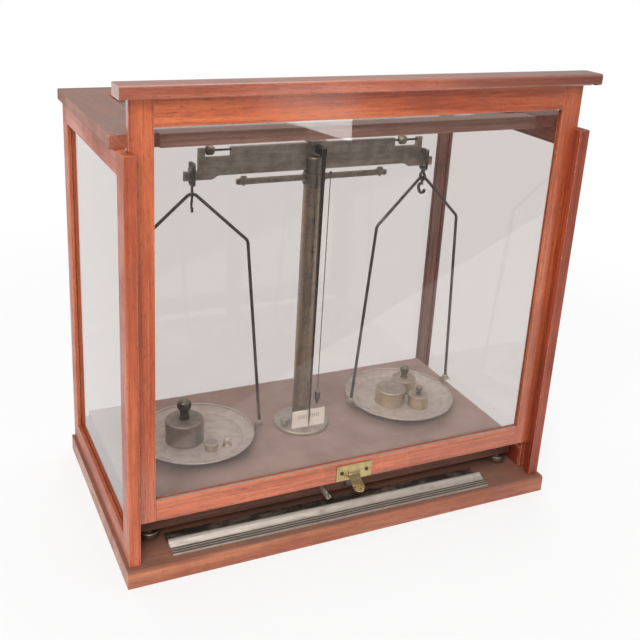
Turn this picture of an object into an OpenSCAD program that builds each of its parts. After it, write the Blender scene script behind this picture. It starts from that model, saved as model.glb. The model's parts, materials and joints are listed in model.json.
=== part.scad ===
// Glass-cased beam balance for weighing out medicines, with its weights on the pans.
// The origin is the centre of the underside of the base board. +Z is up and the front faces -Y.

/* [Base board] */
// Width of the base board, left to right
base_w = 538; // [520:1:580]
// Depth of the base board, front to back
base_d = 296; // [292:1:320]
// Thickness of the base board
base_t = 20.7; // [14:0.1:30]
// Radius of the rounded upper edge along the front and the sides
base_edge_r = 3; // [1:0.5:6]

/* [Case frame] */
// Ledge of base board left outside the posts and side rails
side_ledge = 3.5; // [1:0.5:8]
// Ledge of base board left in front of the front posts
front_ledge = 8; // [4:0.5:14]
// Ledge of base board left behind the rear posts
rear_ledge = 2; // [0.5:0.5:6]
// Width of every post and side rail, seen from the front
post_w = 13; // [11:0.5:16]
// Depth of a rear post
rear_post_d = 23; // [16:0.5:30]
// Height of the front posts above the base board
front_post_h = 445.3; // [430:0.1:470]
// Height from the base board to the underside of the side top boards
case_h = 442.4; // [430:0.1:460]
// Height of the bottom rails
bottom_rail_h = 26.3; // [18:0.1:34]
// Height of the top rails
top_rail_h = 21.1; // [16:0.1:30]
// Thickness of the rear rails, front to back
rear_rail_t = 12.5; // [10:0.5:16]
// Depth of the front post's lip in front of the sash groove
post_lip_d = 10.6; // [6:0.1:14]
// Depth of the bead behind the sash groove
post_bead_d = 3.4; // [2:0.1:6]
// Depth of the sash groove, sideways into the post
sash_groove_w = 5.5; // [4:0.1:7]

/* [Top boards] */
// Overhang of the top boards beyond the posts at the sides
board_overhang = 3; // [0:0.5:8]
// Width of a side top board
side_board_w = 48.7; // [36:0.1:60]
// Thickness of the side top boards
side_board_t = 13.8; // [10:0.1:18]
// Thickness of the rear top board
rear_board_t = 12.8; // [10:0.1:17]
// Depth of the rear top board
rear_board_d = 48.7; // [40:0.1:60]
// Overhang of the rear top board behind the rear posts
rear_overhang = 12.7; // [2:0.1:20]
// Distance of the top boards' front edge behind the front posts
board_setback = 16; // [8:0.5:30]
// Open joint between the side boards and the rear board
board_joint = 0.8; // [0.2:0.1:1]
// Depth of the front top rail, front to back
front_rail_d = 22; // [14:0.5:30]
// Height of the front top rail
front_rail_h = 14; // [10:0.5:16]
// Drop of the front top rail's top below the boards' top
front_rail_drop = 0.9; // [0:0.1:2]

/* [Glass] */
// Thickness of the panes
glass_t = 3; // [2:0.1:4]
// Depth of the grooves that hold the panes
glass_groove = 5; // [3:0.5:6]
// Clearance of a pane to each face of its groove
glass_play = 0.15; // [0.05:0.05:0.3]
// Clearance of a pane to the bottom of its side and upper grooves
glass_end_play = 0.5; // [0.2:0.1:0.8]

/* [Sash] */
// Distance of the sash's sides in from the base board's ends
sash_in = 12; // [11.8:0.1:13]
// Thickness of the sash
sash_t = 9; // [8:0.1:12]
// Height of the sash without its cap
sash_h = 452.8; // [430:0.1:470]
// Height of the sash's lower edge above the base board, as it stands
sash_raise = 42.9; // [36:0.1:60]
// Width of a stile
stile_w = 24.2; // [18:0.1:32]
// Height of the sash's bottom rail
sash_bottom_h = 25.6; // [24:0.1:34]
// Height of the sash's top rail
sash_top_h = 28.3; // [20:0.1:36]
// Clearance of the sash to the front and the rear of its groove
sash_play = 0.5; // [0.3:0.1:0.8]
// Clearance of the sash glass behind the front face of the sash
sash_glass_in = 4.4; // [3:0.1:4.6]
// Height of the cap board
cap_h = 12.5; // [8:0.1:18]
// Depth of the cap board
cap_d = 28.3; // [20:0.1:34]
// Reach of the cap board in front of the sash
cap_reach = 14.9; // [10:0.1:18]
// Radius of the cap's rounded front edges
cap_r = 3; // [1:0.5:5]
// Width of the worn notch under the cap's right end
notch_w = 7; // [3:0.5:12]
// Depth of the worn notch
notch_h = 2; // [1:0.5:3]

/* [Sash lift] */
// Width of the lift's plate
lift_w = 45.8; // [36:0.2:60]
// Height of the lift's plate
lift_h = 20; // [16:0.5:24]
// Thickness of the lift's sheet
lift_t = 1; // [0.6:0.1:1.6]
// Distance of the lift's middle to the right of the case's middle
lift_x = 3.3; // [-20:0.1:20]
// Width of the pressed-out finger tongue
tongue_w = 14.5; // [10:0.5:20]
// Reach of the tongue in front of the plate
tongue_reach = 20; // [17:0.5:24]
// Radius of the tongue's bend
tongue_r = 15; // [10:0.5:16]
// Distance between the lift's two screws
lift_screw_gap = 32; // [26:0.5:40]

/* [Platform] */
// Distance of the platform's ends in from the base board's ends
platform_side_in = 22; // [19:0.5:29]
// Distance of the platform's rear in from the base board's rear
platform_rear_in = 17; // [15:0.5:30]
// Thickness of the platform
platform_t = 28; // [24:0.5:32]
// Height of the platform above the base board
platform_gap = 13.3; // [12:0.1:18]
// Distance of the platform's front behind the base board's front
platform_in = 45; // [40:0.5:50]
// Height at which the levelling screws' discs sit above the base board
disc_lift = 3.5; // [3:0.1:5]
// Radius of a levelling screw's knurled disc
disc_r = 10; // [8:0.5:12]
// Thickness of a levelling screw's disc
disc_t = 7; // [5:0.5:8]
// Radius of a levelling screw's stem
level_stem_r = 3; // [2:0.25:4]
// Length of a levelling screw's stem inside the platform
level_stem_h = 18; // [12:1:20]
// Distance of the levelling screws in from the platform's ends
level_side_in = 15; // [13:0.5:40]
// Distance of the levelling screws behind the platform's front
level_in = 6; // [5:0.5:14]

/* [Arrest] */
// Distance of the arrest spindle to the left of the middle
spindle_x = 26; // [20:0.5:32]
// Height of the spindle above the base board
spindle_h = 23.3; // [21:0.1:26]
// Radius of the arrest spindle
spindle_r = 3; // [2:0.25:4]
// Length of spindle that stands out in front of the platform
spindle_out = 23; // [14:0.5:26]
// Radius of the socket in the spindle's front end
socket_r = 1.6; // [1:0.1:2]
// Depth of the socket in the spindle's front end
socket_d = 9; // [5:0.5:14]
// Radius of the lift rod
rod_r = 4; // [3:0.25:5]
// Thickness of the lifting lever
lever_t = 6; // [5:0.5:8]
// Width of the lifting lever
lever_w = 8; // [6:0.5:12]
// Running clearance of shafts and screws, on the radius
fit = 0.05; // [0.03:0.01:0.1]
// Clearance between pieces that pass each other
run = 0.3; // [0.2:0.05:0.5]

/* [Column] */
// Distance of the balance's plane behind the middle of the base board
balance_y = 14.1; // [8:0.1:20]
// Radius of the foot flange
flange_r = 35.2; // [30:0.1:42]
// Thickness of the foot flange
flange_t = 4.6; // [2.5:0.1:6]
// Outer radius of the column tube
tube_r = 11.9; // [11:0.1:14]
// Wall of the column tube
tube_wall = 3; // [2:0.1:4]
// Height of the column tube's top above the platform
tube_top = 317; // [300:0.5:330]
// Height of the column head above the tube
head_h = 17; // [15:0.5:22]
// Radius of the column head
head_r = 13.5; // [12.5:0.1:17]
// Distance of each flange screw from the column's axis
flange_screw_r = 27; // [22:0.5:29]

/* [Arms and stops] */
// Reach of each arm from the column's axis
arm_reach = 97.5; // [94:0.5:110]
// Depth of the arms, front to back
arm_w = 9; // [6:0.5:12]
// Height of the arms
arm_h = 5; // [4:0.5:7]
// Distance of the stop screws from the column's axis
stop_x = 88.5; // [80:0.5:90]
// Radius of a stop screw's thread
stop_r = 1.5; // [1:0.1:2]
// Radius of a stop screw's turning flange
stop_flange_r = 5.5; // [4:0.1:6]
// Radius of a stop screw's pad
stop_pad_r = 3.8; // [2:0.1:4.4]
// Free gap between a stop screw's pad and the beam
stop_gap = 3.4; // [2.4:0.1:4]

/* [Beam] */
// Distance of each end knife from the central knife
knife_arm = 150; // [146:0.5:155]
// Distance of the deep plate's ends in from the end knives
beam_end_in = 6.5; // [6.5:0.5:12]
// Height of the beam plate
beam_h = 32; // [28:0.5:36]
// Thickness of the beam plate
beam_t = 5; // [4:0.25:6]
// Height of the knives' edges above the beam's lower edge
edge_above = 13; // [12:0.25:15]
// Free height between the column head and the beam
beam_clear = 4; // [3.6:0.1:6]
// Drop of the beam's ends below its lower edge
end_drop = 4.1; // [2:0.1:5]
// Where the sloping step in the lower edge begins
step_from = 120; // [112:0.5:124]
// Where the sloping step in the lower edge ends
step_to = 127; // [125:0.5:132]
// Reach of a knife lug beyond its end knife
lug_out = 10; // [7:0.5:14]
// Height of a knife lug
lug_h = 10.1; // [8:0.1:10.5]
// Inner end of the adjusting notch
notch_in = 105.4; // [100:0.1:110]
// Outer end of the adjusting notch
notch_out = 135.8; // [130:0.1:138]
// Depth of the adjusting notch
notch_d = 10.4; // [9:0.1:12]
// Drop of the threaded rod's centre below the beam's upper edge
rod_drop = 3; // [2:0.1:3.5]
// Radius of the threaded rod
thread_r = 1.2; // [0.8:0.1:1.5]
// Radius of an adjusting nut
nut_r = 5.4; // [4.5:0.1:6]
// Length of an adjusting nut
nut_l = 11; // [8:0.5:12]
// Distance of the left nut's centre from the middle
nut_left_x = 129.9; // [112:0.1:130]
// Distance of the right nut's centre from the middle
nut_right_x = 116.3; // [112:0.1:128]
// Half length of a knife, front to back
end_knife_l = 5.2; // [4.5:0.1:6]
// Half length of the central knife, front to back
mid_knife_l = 6.5; // [5.5:0.1:8]
// Gap between a knife's edge and its bearing
edge_gap = 0.1; // [0.05:0.01:0.2]

/* [Pointer and scale] */
// Distance of the pointer's middle in front of the beam's plane
pointer_y = 24.1; // [22:0.1:30]
// Width of the pointer at its top
pointer_w = 5; // [3:0.1:7]
// Width of the pointer at its tip
pointer_tip_w = 1.4; // [0.8:0.1:2.5]
// Thickness of the pointer
pointer_t = 2; // [1:0.1:2.6]
// Height of the pointer's tip above the foot flange
pointer_low = 4; // [3:0.5:12]
// Width of the ivory scale
scale_w = 45; // [36:0.5:54]
// Height of the ivory scale
scale_h = 23; // [20:0.1:32]
// Thickness of the ivory scale
scale_t = 2; // [1.5:0.1:3]
// Distance of the scale's middle to the right of the column
scale_x = 2; // [-2:0.1:3]
// Gap between the pointer and the scale
scale_gap = 4; // [1:0.1:5]
// Number of divisions on the scale
divisions = 10; // [10:2:30]
// Width over which the divisions run
division_span = 27.5; // [24:0.5:34]
// Depth of the engraved lines
engraving = 0.3; // [0.2:0.05:0.5]

/* [Clamp screw] */
// Distance of the clamp screw to the left of the column's axis
clamp_x = 24; // [22:0.5:26]
// Distance of the clamp screw in front of the column's axis
clamp_y = 2.6; // [0:0.1:6]
// Radius of the clamp screw's disc
clamp_r = 5.6; // [4:0.1:6]
// Height of the clamp screw's disc above the flange
clamp_h = 7.5; // [6:0.5:12]

/* [Plumb line] */
// Distance of the plumb line to the right of the column's axis
plumb_x = 22; // [20:0.5:30]
// Diameter of the plumb line
line_d = 1; // [0.8:0.1:1.4]
// Height of the bob's shoulder above the foot flange
bob_top = 42; // [38:0.5:60]
// Length of the bob's body
bob_l = 24.5; // [16:0.1:30]
// Largest radius of the bob
bob_r = 3.7; // [2.8:0.1:5]

/* [Stirrups and hooks] */
// Thickness of a stirrup, left to right
stirrup_t = 4; // [3:0.25:5]
// Depth of a stirrup, front to back
stirrup_w = 14.5; // [14:0.1:18]
// Height of a stirrup
stirrup_h = 27; // [26:0.5:30]
// Thickness of a stirrup's top bar above the knife
stirrup_top = 3; // [3:0.1:7]
// Thickness of a stirrup's foot bar
stirrup_foot = 3.5; // [3:0.1:5]
// Radius of the swivel's shank
shank_r = 1.5; // [1:0.1:2]
// Thickness of the hook's plate
hook_t = 2.4; // [1.6:0.1:3]
// Drop of the bow's wire below the stirrup
wire_drop = 9.1; // [8.8:0.1:10]
// Radius of the eye that carries the bow's wire
eye_r = 3.1; // [2.6:0.1:3.4]
// Gap between the bow's wire and the lower edge of its eye
wire_gap = 0.3; // [0.25:0.05:0.5]
// Outer radius of the hook's eye
eye_out_r = 5.8; // [5:0.1:6.2]
// Outer radius of the lower hook
hook_r = 7.4; // [6:0.1:9]
// Width of the lower hook's bill
hook_w = 3; // [2:0.1:3.4]

/* [Bows] */
// Diameter of the bow's wire
wire_d = 3.8; // [3:0.1:4.2]
// Half width of a bow at its bends
bend_half = 63.4; // [55:0.1:72]
// Half width of a bow at its feet
foot_half = 79.4; // [77:0.1:90]
// Height from the wire's bends down to the feet
leg_h = 238.8; // [220:0.1:250]
// Height from the bends up to the crown
crown_h = 57.4; // [40:0.1:70]
// Bending radius of the wire at the crown and the bends
bend_r = 8; // [5:0.5:12]
// Turn of the left bow about its hook, as it hangs
turn_left = -13; // [-30:0.1:30]
// Turn of the right bow about its hook, as it hangs
turn_right = 6.7; // [-30:0.1:30]
// Swing of the left bow about its wire, as it hangs
swing_left = -0.2; // [-2:0.1:2]
// Swing of the right bow about its wire, as it hangs
swing_right = 0.8; // [-2:0.1:2]
// Sideways lean of the left bow, as it hangs
lean_left = -1.3; // [-2:0.1:2]
// Sideways lean of the right bow, as it hangs
lean_right = 0.3; // [-2:0.1:2]
// Height of the bow's feet above the pan's rim
ear_rise = 5.7; // [2:0.1:6]
// Width of the strap under a pan
strap_w = 9; // [6:0.5:14]
// Thickness of the strap under a pan
strap_t = 1.5; // [1:0.1:2]

/* [Pans] */
// Radius of a pan over its rim
pan_r = 72.4; // [66:0.1:73]
// Radius of a pan's flat floor
pan_floor_r = 58; // [50:0.5:60]
// Height of a pan
pan_h = 10; // [8:0.5:12]
// Thickness of a pan's sheet
pan_t = 1.2; // [0.8:0.1:2]
// Radius of the bead round a pan's rim
bead_r = 1.2; // [0.8:0.1:1.6]

/* [Weights] */
// Radius of the largest weight
weight_a_r = 23.5; // [18:0.1:24]
// Height of the largest weight's body
weight_a_h = 29; // [22:0.1:34]
// Radius of the plain weight
weight_b_r = 20; // [16:0.1:21]
// Height of the plain weight
weight_b_h = 21; // [16:0.1:26]
// Radius of the second knobbed weight
weight_c_r = 16.4; // [12:0.1:17]
// Height of the second knobbed weight's body
weight_c_h = 19; // [14:0.1:24]
// Radius of the third knobbed weight
weight_d_r = 13.2; // [10:0.1:14]
// Height of the third knobbed weight's body
weight_d_h = 17.2; // [12:0.1:22]
// Radius of the small flanged weight
weight_e_r = 9; // [6:0.1:10]
// Radius of the smallest weight
weight_f_r = 6; // [4:0.1:7]

/* [Ribbed strip] */
// Length of the ribbed strip on the base board
strip_l = 406; // [360:1:420]
// Distance of the strip's middle to the left of the middle
strip_x = 13; // [0:0.5:20]
// Distance of the strip's rear edge behind the base board's front
strip_in = 43.5; // [42:0.5:44]
// Height of the strip's ridge
strip_h = 7; // [5:0.1:9]
// Turn of the strip, as it lies
strip_turn = -0.7; // [-1:0.1:1]

/* [Hidden] */
$fn = 48;
eps = 0.5;
big = 1000;

// Case, seen in plan: half width over the posts, and the faces from front to rear
half_w = base_w / 2 - side_ledge;
inner_w = half_w - post_w;
front_y = -base_d / 2 + front_ledge;
sash_groove_d = sash_t + 2 * sash_play;
groove_y = front_y + post_lip_d;
post_rear_y = groove_y + sash_groove_d + post_bead_d;
rear_y = base_d / 2 - rear_ledge;
rear_post_y = rear_y - rear_post_d;
rear_rail_y = rear_y - rear_rail_t;
groove_w = glass_t + 2 * glass_play;
side_glass_x = half_w - post_w / 2;
rear_glass_y = rear_rail_y + rear_rail_t / 2;

// Case heights
rail_top = base_t + bottom_rail_h;
frame_top = base_t + case_h;
top_rail_low = frame_top - top_rail_h;
boards_top = frame_top + side_board_t;
rear_board_low = boards_top - rear_board_t;

// Top boards
board_out = half_w + board_overhang;
board_in = board_out - side_board_w;
board_front = front_y + sash_groove_d + post_lip_d + post_bead_d + board_setback;
rear_board_rear = rear_y + rear_overhang;
rear_board_front = rear_board_rear - rear_board_d;
side_board_rear = rear_board_front - board_joint;
front_rail_top = boards_top - front_rail_drop;
front_rail_low = front_rail_top - front_rail_h;
front_rail_rear = board_front + front_rail_d;
top_glass_low = front_rail_low + (front_rail_h - glass_t) / 2 + 1.5;

// Sash, as it stands
sash_w = base_w - 2 * sash_in;
sash_front = groove_y + sash_play;
sash_rear = sash_front + sash_t;
sash_low = base_t + sash_raise;
sash_top = sash_low + sash_h;
stile_in = sash_w / 2 - stile_w;
pane_low = sash_low + sash_bottom_h;
pane_top = sash_top - sash_top_h;
sash_glass_y = sash_front + sash_glass_in;
cap_front = sash_front - cap_reach;
lift_top = sash_low + sash_bottom_h - 4.2;
lift_low = lift_top - lift_h;
lift_mid = (lift_low + lift_top) / 2;

// Platform and arrest
platform_w = base_w - 2 * platform_side_in;
platform_d = base_d - platform_in - platform_rear_in;
level_x = platform_w / 2 - level_side_in;
platform_low = base_t + platform_gap;
platform_top = platform_low + platform_t;
platform_front = -base_d / 2 + platform_in;
platform_rear = platform_front + platform_d;
level_y = platform_front + level_in;
spindle_z = base_t + spindle_h;
lever_r = lever_t / 2;
lever_top = spindle_z + lever_r;
hub_r = spindle_r + 3;
pocket_half = 9;
pocket_front = balance_y - pocket_half;
pocket_rear = balance_y + pocket_half;
pocket_top = lever_top + 4;
spindle_rear = pocket_rear + 8;

// Column
flange_top = platform_top + flange_t;
spigot_h = 6;
tube_z = platform_top + tube_top;
head_top = tube_z + head_h;
tube_in_r = tube_r - tube_wall;
plug_r = tube_in_r - fit;
bore_r = rod_r + fit;
beam_low = head_top + beam_clear;
beam_top = beam_low + beam_h;
edge_z = beam_low + edge_above;

// Arms and stops
pad_rise = 3.6;
arm_top = beam_low - stop_gap - pad_rise;
arm_low = arm_top - arm_h;
arm_seat = head_r - 1;
pad_top = beam_low - stop_gap;
bob_z = flange_top + bob_top;

// Yoke at the top of the lift rod: a square foot in the column head, and two round horns above it
yoke_w = 9;
yoke_d = 13;
yoke_low = head_top - 8;
slot_low = yoke_low - run;
horn_low = head_top + run;
horn_floor = horn_low + 1.2;
horn_top = edge_z + 4;
horn_in = beam_t / 2 + 1.5;

// Beam
beam_half = knife_arm - beam_end_in;
beam_y0 = balance_y - beam_t / 2;
beam_y1 = balance_y + beam_t / 2;
seat_half = 7.7;
seat_y = balance_y - mid_knife_l;
top_plate_half = 9.5;
top_plate_reach = 11;
top_plate_t = 3.6;
lug_low = beam_low - end_drop;
lug_top = lug_low + lug_h;
lug_reach = knife_arm + lug_out;
rod_z = beam_top - rod_drop;
knife_half = 3.5;
knife_shoulder = 6;

// Pointer and scale
pointer_rear = balance_y - pointer_y + pointer_t / 2;
pointer_top = beam_top - 2;
pointer_tip = flange_top + pointer_low;
bracket_h = 9;
bracket_low = pointer_top - bracket_h;
bracket_w = 6.4;
scale_y = pointer_rear + scale_gap;

// Stirrups, hooks and bows
stirrup_top_z = edge_z + edge_gap + stirrup_top;
stirrup_low = stirrup_top_z - stirrup_h;
foot_top = stirrup_low + stirrup_foot;
window_half = end_knife_l + 0.4;
shank_head_r = shank_r + 1.1;
wire_r = wire_d / 2;
wire_z = stirrup_low - wire_drop;
eye_z = wire_z - wire_r - wire_gap + eye_r;
hook_z = wire_z - wire_r - 12;
bend_z = wire_z - crown_h;
foot_z = bend_z - leg_h;

// Crown and bends of the wire: slopes and the sharp crown point that the arcs are fitted to
slope_first = atan2(crown_h, bend_half);
slope_guess = atan2(crown_h + bend_r * (1 / cos(slope_first) - 1), bend_half);
crown_point = wire_z + bend_r * (1 / cos(slope_guess) - 1);
slope = atan2(crown_point - bend_z, bend_half);
leg_angle = atan2(leg_h, foot_half - bend_half);
bend_turn = leg_angle - slope;
bend_run = bend_r * tan(bend_turn / 2);
crown_c = [0, crown_point - bend_r / cos(slope)];
wire_swell = 0.04;
wire_lap = 0.4;

// Pans: the pan rests on the strap, whose ears stand a little above its rim
pan_low = foot_z - ear_rise - pan_h;
pan_floor = pan_low + pan_t;
strap_low = pan_low - strap_t;
ear_in = pan_r + bead_r + 2;
ear_out = foot_half + 5;

function turn_of(side) = side < 0 ? turn_left : turn_right;
function tilt_of(side) = side < 0 ? [swing_left, lean_left] : [swing_right, lean_right];

// Shared forms

// Box between two corners
module block(x0, x1, y0, y1, z0, z1) {
    translate([x0, y0, z0]) cube([x1 - x0, y1 - y0, z1 - z0]);
}

// A section drawn as (y, z), carried along X
module along_x(x0, x1) {
    translate([x0, 0, 0]) rotate([90, 0, 90]) linear_extrude(x1 - x0) children();
}

// A section drawn as (x, z), carried along Y
module along_y(y0, y1) {
    translate([0, y1, 0]) rotate([90, 0, 0]) linear_extrude(y1 - y0) children();
}

// A section drawn as (x, y), carried up Z
module along_z(z0, z1) {
    translate([0, 0, z0]) linear_extrude(z1 - z0) children();
}

module rect(x0, x1, y0, y1) {
    translate([x0, y0]) square([x1 - x0, y1 - y0]);
}

// A round bar from (x, y0, z) to (x, y1, z)
module bar_y(r, x, z, y0, y1) {
    translate([x, y0, z]) rotate([-90, 0, 0]) cylinder(r = r, h = y1 - y0);
}

// Turned piece, its section drawn as (radius, z), about the axis through (x, y)
module turned(x, y) {
    translate([x, y, 0]) rotate_extrude() children();
}

// The left one of a pair is the mirror image of the right one
module on_side(side) {
    mirror([side < 0 ? 1 : 0, 0, 0]) children();
}

// Countersunk wood screw with a slotted head, its head's top at z
module screw(x, y, z, r, length) {
    head_d = r * 0.9;
    difference() {
        turned(x, y) polygon([[0, z - length], [r * 0.45, z - length], [r * 0.45, z - head_d], [r, z], [0, z]]);
        block(x - r * 0.9, x + r * 0.9, y - r * 0.15, y + r * 0.15, z - r * 0.4, z + eps);
    }
}

// The hole for such a screw
module screw_hole(x, y, z, r, length) {
    turned(x, y) polygon([
        [0, z - length - fit], [r * 0.45 + fit, z - length - fit], [r * 0.45 + fit, z - r * 0.9],
        [r + fit, z], [r + fit, z + eps], [0, z + eps]
    ]);
}

// Base board and case

module base_board() {
    color("#a5624a") difference() {
        union() {
            block(-base_w / 2, base_w / 2, -base_d / 2 + base_edge_r, base_d / 2, 0, base_t);
            along_x(-base_w / 2, base_w / 2) union() {
                rect(-base_d / 2, -base_d / 2 + base_edge_r + eps, 0, base_t - base_edge_r);
                intersection() {
                    translate([-base_d / 2 + base_edge_r, base_t - base_edge_r]) circle(base_edge_r);
                    rect(-base_d / 2, -base_d / 2 + base_edge_r, base_t - base_edge_r, base_t);
                }
            }
        }
        for (p = base_screws) screw_hole(p[0], p[1], base_t, base_screw_r, base_screw_l);
    }
}

// Screws seen in the top of the base board, and the three in the column's flange
base_screw_r = 2.6;
base_screw_l = 12;
base_screws = [[45, -base_d / 2 + 49], [214, -base_d / 2 + 66]];
flange_screw_size = 3.4;
flange_screw_l = 14;
flange_screws = [for (a = [30, 150, 270])
    [flange_screw_r * cos(a), balance_y + flange_screw_r * sin(a)]];
front_screw_x = 11;
front_screw_z = platform_low + 6.7;
front_screw_r = 4.5;

module fixing_screws() {
    color("#8f8b80") {
        for (p = base_screws) screw(p[0], p[1], base_t, base_screw_r, base_screw_l);
        for (p = flange_screws) screw(p[0], p[1], flange_top, flange_screw_size, flange_screw_l);
        front_screw();
    }
}

// Round-headed screw in the front edge of the platform
module front_screw() {
    translate([front_screw_x, platform_front, front_screw_z]) rotate([90, 0, 0]) difference() {
        union() {
            translate([0, 0, -12]) cylinder(r = front_screw_r * 0.4, h = 12);
            cylinder(r = front_screw_r, h = 0.8);
            translate([0, 0, 0.8]) cylinder(r1 = front_screw_r, r2 = front_screw_r * 0.6, h = 1.2);
        }
        block(-front_screw_r, front_screw_r, -0.5, 0.5, 1.1, 3);
    }
}

// Front post: a channel in which the sash slides, with a glazing bead behind
module front_post(side) {
    color("#c8643c") on_side(side) along_z(base_t, base_t + front_post_h) difference() {
        rect(inner_w, half_w, front_y, post_rear_y);
        rect(inner_w - eps, inner_w + sash_groove_w, groove_y, groove_y + sash_groove_d);
    }
}

// Rear post, grooved for the side pane and the rear pane
module rear_post(side) {
    color("#b5573a") on_side(side) difference() {
        block(inner_w, half_w, rear_post_y, rear_y, base_t, rear_board_low);
        block(side_glass_x - groove_w / 2, side_glass_x + groove_w / 2, rear_post_y - eps,
            rear_post_y + glass_groove, base_t - eps, rear_board_low + eps);
        block(inner_w - eps, inner_w + glass_groove, rear_glass_y - groove_w / 2,
            rear_glass_y + groove_w / 2, base_t - eps, rear_board_low + eps);
    }
}

module side_rail(side, z0, z1, groove_z0, groove_z1) {
    color("#b5573a") on_side(side) difference() {
        block(inner_w, half_w, post_rear_y, rear_post_y, z0, z1);
        block(side_glass_x - groove_w / 2, side_glass_x + groove_w / 2, post_rear_y - eps, rear_post_y + eps,
            groove_z0, groove_z1);
    }
}

module bottom_rail(side) {
    side_rail(side, base_t, rail_top, rail_top - glass_groove, rail_top + eps);
}

module top_rail(side) {
    side_rail(side, top_rail_low, frame_top, top_rail_low - eps, top_rail_low + glass_groove);
}

module bottom_rail_rear() {
    color("#9c4a32") difference() {
        block(-inner_w, inner_w, rear_rail_y, rear_y, base_t, rail_top);
        block(-inner_w - eps, inner_w + eps, rear_glass_y - groove_w / 2, rear_glass_y + groove_w / 2,
            rail_top - glass_groove, rail_top + eps);
    }
}

module top_rail_rear() {
    color("#9c4a32") difference() {
        block(-inner_w, inner_w, rear_rail_y, rear_y, top_rail_low, rear_board_low);
        block(-inner_w - eps, inner_w + eps, rear_glass_y - groove_w / 2, rear_glass_y + groove_w / 2,
            top_rail_low - eps, top_rail_low + glass_groove);
    }
}

module top_rail_front() {
    color("#a5523a") difference() {
        block(-board_in, board_in, board_front, front_rail_rear, front_rail_low, front_rail_top);
        block(-board_in - eps, board_in + eps, front_rail_rear - glass_groove, front_rail_rear + eps,
            top_glass_low, top_glass_low + groove_w);
    }
}

// Side top board, grooved along its inner edge for the top pane
module top_board(side) {
    color("#a0857a") on_side(side) difference() {
        block(board_in, board_out, board_front, side_board_rear, frame_top, boards_top);
        block(board_in - eps, board_in + glass_groove, front_rail_rear - glass_groove, side_board_rear + eps,
            top_glass_low, top_glass_low + groove_w);
    }
}

module top_board_rear() {
    color("#a0857a") difference() {
        block(-board_out, board_out, rear_board_front, rear_board_rear, rear_board_low, boards_top);
        block(-board_in - glass_groove, board_in + glass_groove, rear_board_front - eps,
            rear_board_front + glass_groove, top_glass_low, top_glass_low + groove_w);
    }
}

module side_glass() {
    color("#cfe0dc", 0.35) for (side = [-1, 1]) on_side(side)
        block(side_glass_x - glass_t / 2, side_glass_x + glass_t / 2, post_rear_y + glass_play,
            rear_post_y + glass_groove - glass_end_play, rail_top - glass_groove,
            top_rail_low + glass_groove - glass_end_play);
}

module rear_glass() {
    half = inner_w + glass_groove - glass_end_play;
    color("#cfe0dc", 0.35) block(-half, half, rear_glass_y - glass_t / 2, rear_glass_y + glass_t / 2,
        rail_top - glass_groove, top_rail_low + glass_groove - glass_end_play);
}

module top_glass() {
    half = board_in + glass_groove - glass_end_play;
    color("#cfe0dc", 0.35) block(-half, half, front_rail_rear - glass_groove + glass_end_play,
        rear_board_front + glass_groove - glass_end_play, top_glass_low, top_glass_low + glass_t);
}

// Ribbed metal strip that lies on the base board under the sash
module ribbed_strip() {
    flange_d = 13;
    ridge_d = 2.4;
    foot_d = 35;
    rib_from = 24;
    rib_pitch = 3.6;
    slope_end = 2.4;
    color("#a8a49c") translate([-strip_x, -base_d / 2 + strip_in, base_t]) rotate([0, 0, strip_turn])
        difference() {
            along_x(-strip_l / 2, strip_l / 2) union() {
                polygon([
                    [0, 0], [0, strip_h - 1.6], [-flange_d, strip_h - 1.6], [-flange_d - 0.5, strip_h],
                    [-flange_d - ridge_d, strip_h], [-flange_d - ridge_d - 1, strip_h - 2],
                    [-rib_from, slope_end], [-foot_d, 1.2], [-foot_d, 0]
                ]);
                for (i = [0:2]) rect(-rib_from - i * rib_pitch - 1.4, -rib_from - i * rib_pitch, 0.5,
                    slope_end + 0.8);
            }
            for (dx = [0, 5]) translate([strip_l / 2 - 12 + dx, -28.5, -eps]) cylinder(r = 1.8, h = 20);
            block(strip_l / 2 - 12, strip_l / 2 - 7, -30.3, -26.7, -eps, 20);
            block(strip_l / 2 - 6, strip_l / 2 + eps, -12, eps, -eps, strip_h + eps);
        }
}

// Sash

module sash_stile(side) {
    color("#d67c50") on_side(side) difference() {
        block(stile_in, sash_w / 2, sash_front, sash_rear, sash_low, sash_top);
        block(stile_in - eps, stile_in + glass_groove, sash_glass_y - glass_play,
            sash_glass_y + glass_t + glass_play, pane_low - glass_groove, pane_top + glass_groove);
    }
}

module sash_rail_bottom() {
    color("#d67c50") difference() {
        block(-stile_in, stile_in, sash_front, sash_rear, sash_low, pane_low);
        block(-stile_in - eps, stile_in + eps, sash_glass_y - glass_play,
            sash_glass_y + glass_t + glass_play, pane_low - glass_groove, pane_low + eps);
        for (p = lift_screw_places) lift_screw_hole(p);
    }
}

module sash_rail_top() {
    color("#d67c50") difference() {
        block(-stile_in, stile_in, sash_front, sash_rear, pane_top, sash_top);
        block(-stile_in - eps, stile_in + eps, sash_glass_y - glass_play,
            sash_glass_y + glass_t + glass_play, pane_top - eps, pane_top + glass_groove);
    }
}

module sash_glass() {
    half = stile_in + glass_groove - glass_end_play;
    color("#cfe0dc", 0.35) block(-half, half, sash_glass_y, sash_glass_y + glass_t,
        pane_low - glass_groove, pane_top + glass_groove - glass_end_play);
}

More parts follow.
